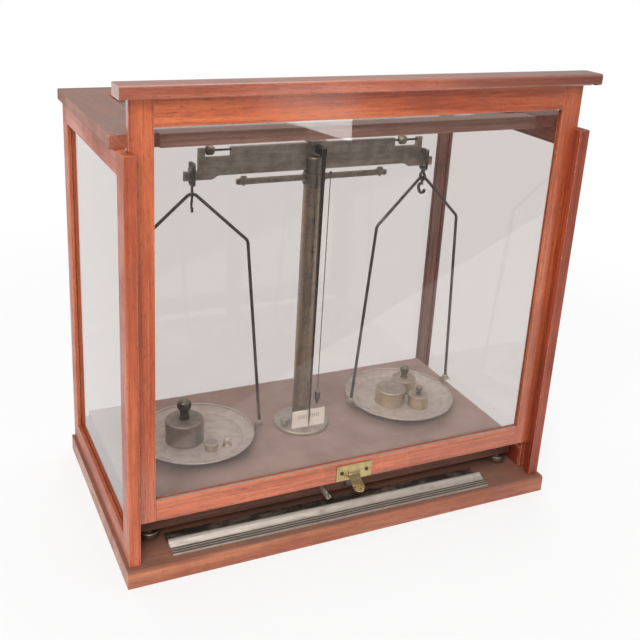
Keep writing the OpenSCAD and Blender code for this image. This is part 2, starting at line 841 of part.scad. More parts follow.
// Cap board on the sash, rounded along its front, with a worn notch under its right end
module sash_cap() {
    cap_top = sash_top + cap_h;
    cap_rear = cap_front + cap_d;
    color("#d98058") difference() {
        along_x(-board_out, board_out) union() {
            rect(cap_front + cap_r, cap_rear, sash_top, cap_top);
            rect(cap_front, cap_front + cap_r, sash_top + cap_r, cap_top - cap_r);
            for (z = [sash_top + cap_r, cap_top - cap_r]) intersection() {
                translate([cap_front + cap_r, z]) circle(cap_r);
                rect(cap_front, cap_front + cap_r, sash_top, cap_top);
            }
        }
        block(board_out - 6.5 - notch_w, board_out - 6.5, cap_front - eps, cap_front + 9,
            sash_top - eps, sash_top + notch_h);
    }
}

// Sash lift: a plate with a tongue pressed out of it and curved forward for the fingers
lift_screw_places = [for (s = [-1, 1]) lift_x + s * lift_screw_gap / 2];
lift_screw_r = 2.4;

module sash_lift() {
    plate_front = sash_front - lift_t;
    bend_top = lift_top - 7;
    bend_y = plate_front - tongue_r;
    sweep = 72;
    end_y = bend_y + tongue_r * cos(sweep);
    end_z = bend_top - tongue_r * sin(sweep);
    tip_y = plate_front - tongue_reach;
    window_w = tongue_w + 1;
    color("#c9b478") difference() {
        union() {
            difference() {
                block(lift_x - lift_w / 2, lift_x + lift_w / 2, plate_front, sash_front, lift_low, lift_top);
                block(lift_x - window_w / 2, lift_x + window_w / 2, plate_front - eps, sash_front + eps,
                    lift_low + 3, bend_top - 0.5);
            }
            along_x(lift_x - tongue_w / 2, lift_x + tongue_w / 2) intersection() {
                difference() {
                    translate([bend_y, bend_top]) circle(tongue_r + lift_t, $fn = 96);
                    translate([bend_y, bend_top]) circle(tongue_r, $fn = 96);
                }
                polygon([
                    [bend_y, bend_top], [bend_y + 2 * tongue_r, bend_top],
                    [bend_y + 2 * tongue_r * cos(sweep), bend_top - 2 * tongue_r * sin(sweep)]
                ]);
            }
            intersection() {
                translate([0, end_y, end_z]) rotate([90 - sweep, 0, 0])
                    block(lift_x - tongue_w / 2, lift_x + tongue_w / 2, tip_y - end_y - 2, run, -lift_t, 0);
                tongue_plan(tip_y);
            }
        }
        for (x = lift_screw_places) bar_y(lift_screw_r * 0.5, x, lift_mid, plate_front - eps, sash_front + eps);
    }
}

// Plan of the tongue, with its round tip
module tongue_plan(tip_y) {
    translate([lift_x, tip_y + tongue_w / 2, lift_low - 20]) cylinder(r = tongue_w / 2, h = 2 * lift_h + 20);
    block(lift_x - tongue_w / 2, lift_x + tongue_w / 2, tip_y + tongue_w / 2, sash_front,
        lift_low - 20, lift_top + 20);
}

module lift_screw_hole(x) {
    bar_y(lift_screw_r * 0.4, x, lift_mid, sash_front - eps, sash_glass_y - glass_play - 0.3);
}

module lift_screws() {
    head_y = sash_front - lift_t;
    color("#8f7c4c") for (x = lift_screw_places) difference() {
        union() {
            bar_y(lift_screw_r * 0.4, x, lift_mid, head_y, sash_glass_y - glass_play - 0.3);
            bar_y(lift_screw_r, x, lift_mid, head_y - 0.9, head_y);
        }
        block(x - lift_screw_r, x + lift_screw_r, head_y - 2, head_y - 0.5, lift_mid - 0.3, lift_mid + 0.3);
    }
}

// Platform, its feet, and the arrest inside it

module platform() {
    color("#5e4436") difference() {
        block(-platform_w / 2, platform_w / 2, platform_front, platform_rear, platform_low, platform_top);
        block(-spindle_x - hub_r - 2, rod_r + 6, pocket_front, pocket_rear, platform_low - eps, pocket_top);
        bar_y(spindle_r + fit, -spindle_x, spindle_z, platform_front - eps, spindle_rear + run);
        translate([0, balance_y, pocket_top - eps]) cylinder(r = bore_r, h = big);
        for (s = [-1, 1]) translate([s * level_x, level_y, platform_low - eps])
            cylinder(r = level_stem_r + fit, h = level_stem_h + eps + 2);
        translate([0, rear_foot_y, platform_low - eps]) cylinder(r = foot_stem_r + fit, h = foot_stem_h + eps + fit);
        for (p = flange_screws) screw_hole(p[0], p[1], flange_top, flange_screw_size, flange_screw_l);
        bar_y(front_screw_r * 0.4 + fit, front_screw_x, front_screw_z, platform_front - eps, platform_front + 12.1);
    }
}

rear_foot_y = platform_rear - 13;
foot_stem_r = 2.5;
foot_stem_h = 10;

// Fixed foot under the rear of the platform
module platform_rear_foot() {
    color("#7c766a") turned(0, rear_foot_y) polygon([
        [0, base_t], [4, base_t], [6.5, base_t + 2], [7, platform_low - 2], [7, platform_low],
        [foot_stem_r, platform_low], [foot_stem_r, platform_low + foot_stem_h], [0, platform_low + foot_stem_h]
    ]);
}

// Levelling screw: stem, knurled disc and a small foot on the base board
module levelling_screw(side) {
    knurls = 36;
    disc_low = base_t + disc_lift;
    disc_top = disc_low + disc_t;
    color("#6f6a60") difference() {
        turned(side * level_x, level_y) polygon([
            [0, base_t], [2.5, base_t], [4.2, disc_low], [disc_r - 0.8, disc_low], [disc_r, disc_low + 0.8],
            [disc_r, disc_top - 0.8], [disc_r - 0.8, disc_top], [level_stem_r, disc_top],
            [level_stem_r, platform_low + level_stem_h], [0, platform_low + level_stem_h]
        ]);
        for (i = [0:knurls - 1]) translate([side * level_x, level_y, disc_low - eps]) rotate([0, 0, i * 360 / knurls])
            translate([disc_r + 0.15, 0, 0]) rotate([0, 0, 45]) cube([0.7, 0.7, 3 * disc_t], center = true);
    }
}

// Arrest spindle with its lifting lever; its front end has a socket for a knob
module spindle() {
    color("#8a7f62") difference() {
        union() {
            bar_y(spindle_r, -spindle_x, spindle_z, platform_front - spindle_out, spindle_rear);
            bar_y(hub_r, -spindle_x, spindle_z, pocket_front + run, pocket_rear - run);
            block(-spindle_x, 0, balance_y - lever_w / 2, balance_y + lever_w / 2,
                spindle_z - lever_r, spindle_z + lever_r);
            bar_y(lever_r, 0, spindle_z, balance_y - lever_w / 2, balance_y + lever_w / 2);
        }
        bar_y(socket_r, -spindle_x, spindle_z, platform_front - spindle_out - eps,
            platform_front - spindle_out + socket_d);
        block(-spindle_x - 0.6, -spindle_x + 0.6, platform_front - spindle_out - eps,
            platform_front - spindle_out + 5, spindle_z, spindle_z + 2 * spindle_r);
    }
}

// Lift rod through the column, with the two horns that bear the central knife
module lift_rod() {
    pocket_w = knife_half + 0.8;
    pocket_l = mid_knife_l + 0.5;
    color("#8d8878") union() {
        translate([0, balance_y, lever_top + fit]) cylinder(r = rod_r, h = yoke_low - lever_top - fit);
        block(-yoke_w / 2, yoke_w / 2, balance_y - yoke_d / 2, balance_y + yoke_d / 2, yoke_low, horn_low + eps);
        difference() {
            turned(0, balance_y) polygon([
                [0, horn_low], [tube_r, horn_low], [tube_r, horn_top - 3.2], [tube_r - 1, horn_top - 1.6],
                [tube_r - 3, horn_top - 0.5], [tube_r - 6, horn_top], [0, horn_top]
            ]);
            block(-head_r, head_r, balance_y - horn_in, balance_y + horn_in, horn_floor, horn_top + eps);
            block(-pocket_w, pocket_w, balance_y - pocket_l, balance_y + pocket_l, edge_z - edge_gap, horn_top + eps);
        }
    }
}

// Column

module column_flange() {
    color("#a3a294") difference() {
        turned(0, balance_y) polygon([
            [bore_r, platform_top], [flange_r, platform_top], [flange_r, flange_top - 0.8],
            [flange_r - 0.8, flange_top], [plug_r, flange_top], [plug_r, flange_top + spigot_h], [bore_r, flange_top + spigot_h]
        ]);
        for (p = flange_screws) screw_hole(p[0], p[1], flange_top, flange_screw_size, flange_screw_l);
        translate([-clamp_x, balance_y - clamp_y, platform_top - eps]) cylinder(r = clamp_stem_r + fit, h = big);
    }
}

module column_tube() {
    color("#8c8a7c") turned(0, balance_y) rect(tube_in_r, tube_r, flange_top, tube_z);
}

// Column head: plug below, flared collar, slot for the yoke and sockets for the two arms
module column_head() {
    flare = head_r - tube_r;
    color("#7d796c") difference() {
        turned(0, balance_y) polygon([
            [bore_r, tube_z - 10], [plug_r, tube_z - 10], [plug_r, tube_z], [tube_r, tube_z],
            [tube_r, tube_z + 1], [head_r, tube_z + 1 + 2 * flare], [head_r, head_top - 1],
            [head_r - 1, head_top], [bore_r, head_top]
        ]);
        block(-yoke_w / 2 - run, yoke_w / 2 + run, balance_y - yoke_d / 2 - run, balance_y + yoke_d / 2 + run,
            slot_low, head_top + eps);
        for (s = [-1, 1]) {
            block(s < 0 ? -head_r - eps : arm_seat, s < 0 ? -arm_seat : head_r + eps,
                balance_y - arm_w / 2 - fit, balance_y + arm_w / 2 + fit, arm_low - 4 - fit, head_top + eps);
            translate([s * (arm_seat + eps), balance_y, (arm_low + arm_top) / 2]) rotate([0, -s * 90, 0])
                cylinder(r = arm_pin_r + fit, h = arm_pin_l + eps + fit);
        }
    }
}

arm_pin_r = 2;
arm_pin_l = 6;

// Two arms on the column head that carry the stop screws and the plumb line
module cross_arms() {
    mid = (arm_low + arm_top) / 2;
    color("#8f8c80") for (s = [-1, 1]) difference() {
        union() {
            along_z(arm_low, arm_top) polygon([
                [s * arm_seat, balance_y - arm_w / 2], [s * (arm_reach - 3), balance_y - arm_w / 2],
                [s * arm_reach, balance_y - arm_w / 6], [s * arm_reach, balance_y + arm_w / 6],
                [s * (arm_reach - 3), balance_y + arm_w / 2], [s * arm_seat, balance_y + arm_w / 2]
            ]);
            along_y(balance_y - arm_w / 2, balance_y + arm_w / 2) difference() {
                rect(s < 0 ? -arm_seat - 4 : arm_seat, s < 0 ? -arm_seat : arm_seat + 4, arm_low - 4, arm_low);
                translate([s * (arm_seat + 4), arm_low - 4]) circle(4);
            }
            translate([s * arm_seat, balance_y, mid]) rotate([0, -s * 90, 0]) cylinder(r = arm_pin_r, h = arm_pin_l);
        }
        translate([s * stop_x, balance_y, arm_low - eps]) cylinder(r = stop_r + fit, h = arm_h + 2 * eps);
        if (s > 0) translate([plumb_x, balance_y, arm_low - eps]) cylinder(r = line_hole_r, h = arm_h + 2 * eps);
    }
}

line_hole_r = line_d / 2 + 0.4;

// Stop screw: threaded stem, turning flange and the pad under the beam
module stop_screw(side) {
    flange_low = arm_top + run;
    color("#7a766c") turned(side * stop_x, balance_y) polygon([
        [0, arm_low - 2.5], [stop_r, arm_low - 2.5], [stop_r, flange_low], [stop_flange_r, flange_low],
        [stop_flange_r, flange_low + 0.5], [stop_r, flange_low + 2.2], [stop_r, pad_top - 1],
        [stop_pad_r, pad_top - 0.7], [stop_pad_r, pad_top], [0, pad_top]
    ]);
}

// Ivory scale on a small bracket, with its divisions and border engraved
module scale_plate() {
    top = flange_top + scale_h;
    line_top = top - 5.3;
    pitch = division_span / divisions;
    border = 2;
    color("#d8d0b8") difference() {
        block(scale_x - scale_w / 2, scale_x + scale_w / 2, scale_y, scale_y + scale_t, flange_top, top);
        for (i = [0:divisions]) {
            x = scale_x + (i - divisions / 2) * pitch;
            tall = i == divisions / 2 ? 11 : 5.6;
            block(x - 0.15, x + 0.15, scale_y - eps, scale_y + engraving, line_top - tall, line_top);
        }
        block(scale_x - scale_w / 2 + border, scale_x + scale_w / 2 - border, scale_y - eps,
            scale_y + engraving, flange_top + border, flange_top + border + 0.3);
    }
    color("#a89868") difference() {
        union() {
            block(-6, 6, scale_y + scale_t, scale_y + scale_t + 1.2, flange_top, flange_top + 8);
            block(-6, 6, scale_y + scale_t + 1.2, balance_y - tube_r - 1, flange_top, flange_top + 1.2);
        }
    }
}

// Clamp screw on the flange, with a leaf to turn it by
clamp_stem_r = 2.5;

module clamp_screw() {
    disc_low = flange_top + clamp_h;
    disc_top = disc_low + 3;
    color("#8d8468") translate([-clamp_x, balance_y - clamp_y, 0]) union() {
        rotate_extrude() polygon([
            [0, platform_top + run], [clamp_stem_r, platform_top + run], [clamp_stem_r, flange_top + run],
            [3.6, flange_top + run], [3, disc_low], [clamp_r, disc_low], [clamp_r, disc_top], [0, disc_top]
        ]);
        rotate([0, 0, 130]) along_y(-0.6, 0.6)
            polygon([[-2.5, disc_top], [-3, disc_top + 1.6], [7.5, disc_top + 4.6], [3, disc_top]]);
    }
}

// Plumb line: one tube of eight sides along its route, hung from a knot on the right arm
line_parts = 5;
line_from = arm_top + run;
line_route = [for (i = [0:line_parts]) [plumb_x, balance_y, line_from + (bob_z - line_from) * i / line_parts]];
line_sides = 8;

function line_ring(p) = [for (i = [0:line_sides - 1])
    p + line_d / 2 * [cos(i * 360 / line_sides), -sin(i * 360 / line_sides), 0]];

module plumb_line() {
    count = len(line_route);
    points = [for (p = line_route) each line_ring(p)];
    sides = [for (k = [0:count - 2], i = [0:line_sides - 1])
        let (j = (i + 1) % line_sides, a = k * line_sides, b = a + line_sides)
        each [[a + i, b + i, b + j], [a + i, b + j, a + j]]];
    first = [for (i = [0:line_sides - 1]) i];
    last = [for (i = [line_sides - 1:-1:0]) (count - 1) * line_sides + i];
    color("#5a544c") polyhedron(points, concat(sides, [first, last]));
}

// Plumb bob below its line, and the knot that holds the line on the arm
module plumb_bob() {
    color("#9a8a58") turned(plumb_x, balance_y) polygon([
        [0, bob_z], [1, bob_z], [1.2, bob_z - 1.6], [2, bob_z - 2.4], [1.4, bob_z - 3.4],
        [bob_r, bob_z - 5], [bob_r, bob_z - bob_l * 0.55], [bob_r * 0.55, bob_z - bob_l * 0.75], [0, bob_z - bob_l]
    ]);
    color("#5a544c") turned(plumb_x, balance_y)
        polygon([
            [0, arm_top + run], [line_hole_r + 0.6, arm_top + run], [line_hole_r + 0.3, arm_top + 2.2],
            [0, arm_top + 2.6]
        ]);
}

// Beam

// Right half of the beam's outline, from below to above; the left half is its mirror image
beam_side = [
    [step_from, beam_low], [step_to, lug_low], [lug_reach, lug_low], [lug_reach, lug_top],
    [beam_half, lug_top], [beam_half, beam_top], [notch_out, beam_top], [notch_out, beam_top - notch_d],
    [notch_in, beam_top - notch_d], [notch_in, beam_top]
];

function mirrored(points) = [for (i = [len(points) - 1:-1:0]) [-points[i][0], points[i][1]]];

module mid_knife_outline() {
    polygon([
        [0, edge_z], [knife_half, edge_z + knife_shoulder], [knife_half, bracket_low],
        [-knife_half, bracket_low], [-knife_half, edge_z + knife_shoulder]
    ]);
}

// Beam: a deep plate with a seat for the central knife on its front and a small plate across its top
module beam() {
    color("#8f8877") difference() {
        union() {
            along_y(beam_y0, beam_y1) difference() {
                polygon(concat(beam_side, mirrored(beam_side)));
                mid_knife_outline();
            }
            along_y(seat_y, beam_y0 + eps) difference() {
                rect(-seat_half, seat_half, horn_top + 1, beam_top);
                mid_knife_outline();
            }
            block(-top_plate_half, top_plate_half, balance_y - top_plate_reach, balance_y + top_plate_reach,
                beam_top - eps, beam_top + top_plate_t);
        }
        for (s = [-1, 1]) translate([s * (notch_in - 4), balance_y, rod_z]) rotate([0, s * 90, 0])
            cylinder(r = thread_r + fit, h = notch_out + 4 - notch_in + 4);
    }
}

// Three steel knives: the central one points down, the end ones up
module beam_knives() {
    color("#6a675e") {
        along_y(balance_y - mid_knife_l, balance_y + mid_knife_l) mid_knife_outline();
        for (s = [-1, 1]) along_y(balance_y - end_knife_l, balance_y + end_knife_l) polygon([
            [s * knife_arm - knife_half, lug_top], [s * knife_arm + knife_half, lug_top],
            [s * knife_arm + knife_half, lug_top + 2], [s * knife_arm, edge_z],
            [s * knife_arm - knife_half, lug_top + 2]
        ]);
    }
}

module nut_rods() {
    color("#6f6a5c") for (s = [-1, 1]) translate([s * (notch_in - 4), balance_y, rod_z]) rotate([0, s * 90, 0])
        cylinder(r = thread_r, h = notch_out - notch_in + 8 - fit);
}

// Adjusting nut: a turned drum with bevelled ends, bored for its rod
module adjusting_nut(x) {
    bevel = 2.4;
    color("#5f5650") translate([x - nut_l / 2, balance_y, rod_z]) rotate([0, 90, 0]) rotate_extrude() polygon([
        [thread_r + fit, 0], [nut_r - bevel, 0], [nut_r, bevel], [nut_r, nut_l - bevel], [nut_r - bevel, nut_l],
        [thread_r + fit, nut_l]
    ]);
}

// Pointer: a bracket on the front of the beam and a blade that tapers down to the scale
module pointer() {
    blade_front = pointer_rear - pointer_t;
    color("#77705f") union() {
        block(-bracket_w / 2, bracket_w / 2, pointer_rear, seat_y, bracket_low, pointer_top);
        bar_y(2.2, 0, pointer_top - 3.6, blade_front - 1, blade_front + eps);
        along_y(blade_front, pointer_rear) polygon([
            [-bracket_w / 2, pointer_top], [-bracket_w / 2, bracket_low],
            [-pointer_w / 2, bracket_low - 2], [-pointer_tip_w / 2, pointer_tip + 8], [0, pointer_tip],
            [pointer_tip_w / 2, pointer_tip + 8], [pointer_w / 2, bracket_low - 2],
            [bracket_w / 2, bracket_low], [bracket_w / 2, pointer_top]
        ]);
    }
}

// Stirrups, hooks and bows

// Stirrup: a frame round the knife lug, its top bar on the knife and its foot bored for the swivel
module stirrup(side) {
    half = stirrup_w / 2;
    color("#6d685c") difference() {
        along_x(side * knife_arm - stirrup_t / 2, side * knife_arm + stirrup_t / 2) difference() {
            polygon([
                [balance_y - half, stirrup_low + 2.5], [balance_y - half + 4, stirrup_low],
                [balance_y + half - 4, stirrup_low], [balance_y + half, stirrup_low + 2.5],
                [balance_y + half, stirrup_top_z - 1], [balance_y + half - 1, stirrup_top_z],
                [balance_y - half + 1, stirrup_top_z], [balance_y - half, stirrup_top_z - 1]
            ]);
            rect(balance_y - window_half, balance_y + window_half, foot_top, edge_z + edge_gap);
        }
        translate([side * knife_arm, balance_y, stirrup_low - eps])
            cylinder(r = shank_r + fit, h = stirrup_foot + 2 * eps);
    }
}

// Swivel hook: headed shank in the stirrup's foot, an eye for the bow and an open hook below it
module hook(side) {
    arm_z = hook_z;
    color("#6d685c") translate([side * knife_arm, balance_y, 0]) rotate([0, 0, turn_of(side)]) union() {
        translate([0, 0, foot_top + run]) cylinder(r = shank_head_r, h = 1.4);
        translate([0, 0, stirrup_low - run - 1]) cylinder(r = shank_r, h = stirrup_foot + 2 * run + 1.4);
        along_x(-hook_t / 2, hook_t / 2) difference() {
            union() {
                translate([0, eye_z]) circle(eye_out_r);
                polygon([[-2, eye_z], [2, eye_z], [2.8, stirrup_low - run], [-2.8, stirrup_low - run]]);
                rect(-1.3, 1.3, arm_z + hook_r - hook_w, eye_z - eye_r);
                difference() {
                    translate([0, arm_z]) circle(hook_r);
                    translate([0, arm_z]) circle(hook_r - hook_w);
                    rect(-hook_r - eps, -1.3, arm_z, arm_z + hook_r + eps);
                }
            }
            translate([0, eye_z]) circle(eye_r);
        }
    }
}

// A straight length of wire in the XZ plane, from p to q, run a little into the bends at its ends
module wire(p, q) {
    d = q - p;
    translate([p[0], 0, p[1]]) rotate([0, atan2(d[0], d[1]), 0])
        translate([0, 0, -wire_lap]) cylinder(r = wire_r, h = norm(d) + 2 * wire_lap);
}

// A bent length of wire in the XZ plane about c, from angle a0 on through turn, swollen by the bending
module wire_bend(c, a0, turn) {
    translate([c[0], 0, c[1]]) rotate([90, 0, 0]) rotate([0, 0, a0])
        rotate_extrude(angle = turn, $fn = 96) translate([bend_r, 0]) circle(wire_r + wire_swell, $fn = 24);
}

// Right half of a bow's wire, drawn about its hook's axis, without the crown
module half_bow() {
    down = [cos(slope), -sin(slope)];
    leg = [cos(leg_angle), -sin(leg_angle)];
    crown_end = crown_c + bend_r * [sin(slope), cos(slope)];
    bend = [bend_half, bend_z];
    bend_in = bend - bend_run * down;
    bend_out = bend + bend_run * leg;
    bend_c = bend_in - bend_r * [sin(slope), cos(slope)];
    foot = [foot_half, foot_z] - wire_lap * leg;
    wire(crown_end, bend_in);
    wire_bend(bend_c, 90 - leg_angle, bend_turn);
    wire(bend_out, foot);
    translate([foot_half, 0, foot_z - 0.5]) cylinder(r = wire_r + 1.8, h = 1.9);
    translate([foot_half, 0, foot_z + 1]) cylinder(r = wire_r + 1, h = 2.2);
    translate([foot_half, 0, foot_z + 2]) cylinder(r = wire_r + 1.4, h = 0.8);
}

// Half of the outline of the flat strap under the pan, with the ear in which the leg is fixed
module half_strap() {
    slack = 0.6;
    turn_up = [pan_r + 1.2, pan_low + pan_h - 2.5];
    polygon([
        [0, strap_low], [pan_floor_r + slack, strap_low], turn_up + [1.4, -1.4], [ear_in + 1.5, foot_z - strap_t - 1],
        [ear_out, foot_z - strap_t - 1], [ear_out, foot_z], [ear_in, foot_z], turn_up,
        [pan_floor_r, strap_low + strap_t], [0, strap_low + strap_t]
    ]);
}

// Places what hangs from a hook as it hangs, turned and tilted about the wire's crown
module hung(side) {
    translate([side * knife_arm, balance_y, wire_z]) rotate([0, 0, turn_of(side)]) rotate([tilt_of(side)[0], 0, 0])
        rotate([0, tilt_of(side)[1], 0]) translate([0, 0, -wire_z]) children();
}

module bow(side) {
    color("#77736a") hung(side) union() {
        wire_bend(crown_c, 90 - slope, 2 * slope);
        for (s = [0, 1]) mirror([s, 0, 0]) half_bow();
        along_y(-strap_w / 2, strap_w / 2) union() {
            half_strap();
            mirror([1, 0]) half_strap();
        }
    }
}

// Pan: a spun dish with a flat floor and a beaded rim
module pan(side) {
    rim = [pan_r - bead_r, pan_low + pan_h - bead_r];
    color("#b3b0a6") hung(side) rotate_extrude() union() {
        polygon([
            [0, pan_low], [pan_floor_r, pan_low], [rim[0] + pan_t / 2, rim[1]], [rim[0] - pan_t / 2, rim[1]],
            [pan_floor_r - pan_t / 3, pan_floor], [0, pan_floor]
        ]);
        translate(rim) circle(bead_r, $fn = 24);
    }
}

// Weights, each placed from its pan's middle as a share of the pan's radius
place_a = [-0.184, -0.032];
place_e = [0.228, -0.405];
place_f = [0.504, -0.307];
place_b = [-0.228, -0.030];
place_c = [0.276, 0.233];
place_d = [0.156, -0.374];

// Heights and radii of the small weights' parts, as shares of their radius
lid_share = 1.13;
band_share = 0.78;
cup_share = 1.03;

// Plain cylindrical weight with bevelled edges
module plain_weight(place, r, h) {
    bevel = r / 28;
    translate([place[0] * pan_r, place[1] * pan_r, pan_floor]) rotate_extrude()
        polygon([[0, 0], [r - bevel, 0], [r, bevel], [r, h - bevel], [r - bevel, h], [0, h]]);
}

// The same with a waisted neck and a ball knob, their sizes given as shares of the body's radius
module knobbed_weight(place, r, h, knob, knob_rise, neck) {
    knob_r = knob * r;
    knob_z = h + knob_rise * r;
    neck_r = neck * r;
    neck_top = knob_z - knob_r * 0.7;
    plain_weight(place, r, h);
    translate([place[0] * pan_r, place[1] * pan_r, pan_floor]) {
        rotate_extrude()
            polygon([[0, h - 1], [neck_r, h - 1], [neck_r, h + 1], [neck_r * 0.75, neck_top], [0, neck_top]]);
        translate([0, 0, knob_z]) sphere(r = knob_r, $fn = 32);
    }
}

module weights_left() {
    hung(-1) {
        color("#7f796d") knobbed_weight(place_a, weight_a_r, weight_a_h, 0.375, 0.79, 0.28);
        color("#a89c88") translate([place_e[0] * pan_r, place_e[1] * pan_r, pan_floor]) rotate_extrude() polygon([
            [0, 0], [weight_e_r * 0.84, 0], [weight_e_r * 0.93, weight_e_r * 0.72],
            [weight_e_r, weight_e_r * band_share], [weight_e_r, weight_e_r * 1.07],
            [weight_e_r * 0.89, weight_e_r * lid_share], [0, weight_e_r * lid_share]
        ]);
        color("#a89c88") translate([place_f[0] * pan_r, place_f[1] * pan_r, pan_floor]) rotate_extrude() polygon([
            [0, 0], [weight_f_r, 0], [weight_f_r * 0.73, weight_f_r / 2], [weight_f_r * 0.93, weight_f_r * cup_share],
            [weight_f_r * 0.8, weight_f_r * cup_share], [weight_f_r * 0.57, weight_f_r * 0.67], [0, weight_f_r * 0.67]
        ]);
    }
}

module weights_right() {
    hung(1) {
        color("#a39a80") plain_weight(place_b, weight_b_r, weight_b_h);
        color("#a39a80") knobbed_weight(place_c, weight_c_r, weight_c_h, 0.384, 0.73, 0.305);
        color("#9a917a") knobbed_weight(place_d, weight_d_r, weight_d_h, 0.326, 0.62, 0.258);
    }
}

base_board();
front_post(-1);  // front_post_left
front_post(1);  // front_post_right
rear_post(-1);  // rear_post_left
rear_post(1);  // rear_post_right
bottom_rail(-1);  // bottom_rail_left
bottom_rail(1);  // bottom_rail_right
bottom_rail_rear();
top_rail(-1);  // top_rail_left
top_rail(1);  // top_rail_right
top_rail_rear();
top_rail_front();
top_board(-1);  // top_board_left
top_board(1);  // top_board_right
top_board_rear();
side_glass();
rear_glass();
top_glass();
platform();
platform_rear_foot();
fixing_screws();
ribbed_strip();
column_flange();
column_tube();
column_head();
cross_arms();
scale_plate();
clamp_screw();
plumb_line();
plumb_bob();
sash_stile(-1);  // sash_stile_left
sash_stile(1);  // sash_stile_right
sash_rail_top();
sash_rail_bottom();
sash_cap();
sash_glass();
sash_lift();
lift_screws();
spindle();
lift_rod();
beam();
beam_knives();
nut_rods();
pointer();
adjusting_nut(-nut_left_x);  // adjusting_nut_left
adjusting_nut(nut_right_x);  // adjusting_nut_right
stirrup(-1);  // stirrup_left
stirrup(1);  // stirrup_right
hook(-1);  // hook_left
hook(1);  // hook_right
bow(-1);  // bow_left
bow(1);  // bow_right
pan(-1);  // pan_left
pan(1);  // pan_right
stop_screw(-1);  // stop_screw_left
stop_screw(1);  // stop_screw_right
levelling_screw(-1);  // levelling_screw_left
levelling_screw(1);  // levelling_screw_right
weights_left();
weights_right();
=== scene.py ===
"""Looks of a glass-cased beam balance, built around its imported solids."""
import json
import logging
import math
from dataclasses import dataclass, field
from enum import Enum
from typing import Any, Sequence

import bmesh
import bpy
from mathutils import Matrix, Vector

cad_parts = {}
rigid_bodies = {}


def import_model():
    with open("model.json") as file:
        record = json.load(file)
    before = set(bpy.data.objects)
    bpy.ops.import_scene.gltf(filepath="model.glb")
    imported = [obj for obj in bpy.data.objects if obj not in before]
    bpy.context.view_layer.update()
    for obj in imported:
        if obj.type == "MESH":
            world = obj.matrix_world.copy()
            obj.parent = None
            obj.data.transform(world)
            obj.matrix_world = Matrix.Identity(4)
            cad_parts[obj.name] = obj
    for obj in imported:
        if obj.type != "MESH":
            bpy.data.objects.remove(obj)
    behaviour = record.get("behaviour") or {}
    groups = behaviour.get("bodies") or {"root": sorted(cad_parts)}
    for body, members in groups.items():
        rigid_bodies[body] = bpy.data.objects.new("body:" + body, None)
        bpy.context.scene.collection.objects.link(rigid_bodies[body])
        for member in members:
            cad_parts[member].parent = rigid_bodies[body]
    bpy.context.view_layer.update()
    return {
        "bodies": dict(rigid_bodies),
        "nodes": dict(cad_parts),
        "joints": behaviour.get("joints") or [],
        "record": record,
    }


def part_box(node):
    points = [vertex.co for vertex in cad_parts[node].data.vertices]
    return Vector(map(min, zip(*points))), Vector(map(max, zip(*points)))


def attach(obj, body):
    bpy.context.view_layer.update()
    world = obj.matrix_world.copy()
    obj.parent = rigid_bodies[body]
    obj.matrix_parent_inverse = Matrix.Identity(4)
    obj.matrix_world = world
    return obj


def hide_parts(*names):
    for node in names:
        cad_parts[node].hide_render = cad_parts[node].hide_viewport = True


log = logging.getLogger("balance")
MM = 0.001
WHITE = (1.0, 1.0, 1.0, 1.0)
WELD = 2e-6
FLAT_TURN = math.radians(0.6)
CREASE_TURN = math.radians(28)
ARRIS_TURN = math.radians(30)
WIRE_TURN = math.radians(50)
CUT_SHADE = 32.0
LATHE_SHADE = 34.0
TINY = 1e-6
QUARTER = math.pi / 2
Colour = tuple[float, float, float]


def shade(red: int, green: int, blue: int) -> Colour:
    """Turns a colour written in the 0 to 255 range of a screen into the renderer's linear values."""
    return tuple(c / 12.92 if c <= 0.04045 else ((c + 0.055) / 1.055) ** 2.4
        for c in (red / 255, green / 255, blue / 255))


def scaled(colour: Colour, factor: float) -> Colour:
    """Makes a colour darker or lighter, with no channel over 1."""
    return tuple(min(1.0, c * factor) for c in colour)


def moved(x: float, y: float, z: float) -> Matrix:
    """Returns the matrix of a move."""
    return Matrix.Translation(Vector((x, y, z)) * MM)


def put(name: str, data: bpy.types.ID | None) -> bpy.types.Object:
    """Makes an object and links it into the scene.

    Args:
        name: Its name.
        data: Its mesh, curve, camera or lamp.

    Returns:
        The object.
    """
    made = bpy.data.objects.new(name, data)
    bpy.context.collection.objects.link(made)
    return made


def evaluated(holder: bpy.types.Object) -> bpy.types.Mesh:
    """Makes a plain mesh of an object with its modifiers."""
    graph = bpy.context.evaluated_depsgraph_get()
    return bpy.data.meshes.new_from_object(holder.evaluated_get(graph), preserve_all_data_layers=True, depsgraph=graph)


class Run(Enum):
    """The axis that grain, brush marks or ribs run along."""

    X = 0
    Y = 1
    Z = 2


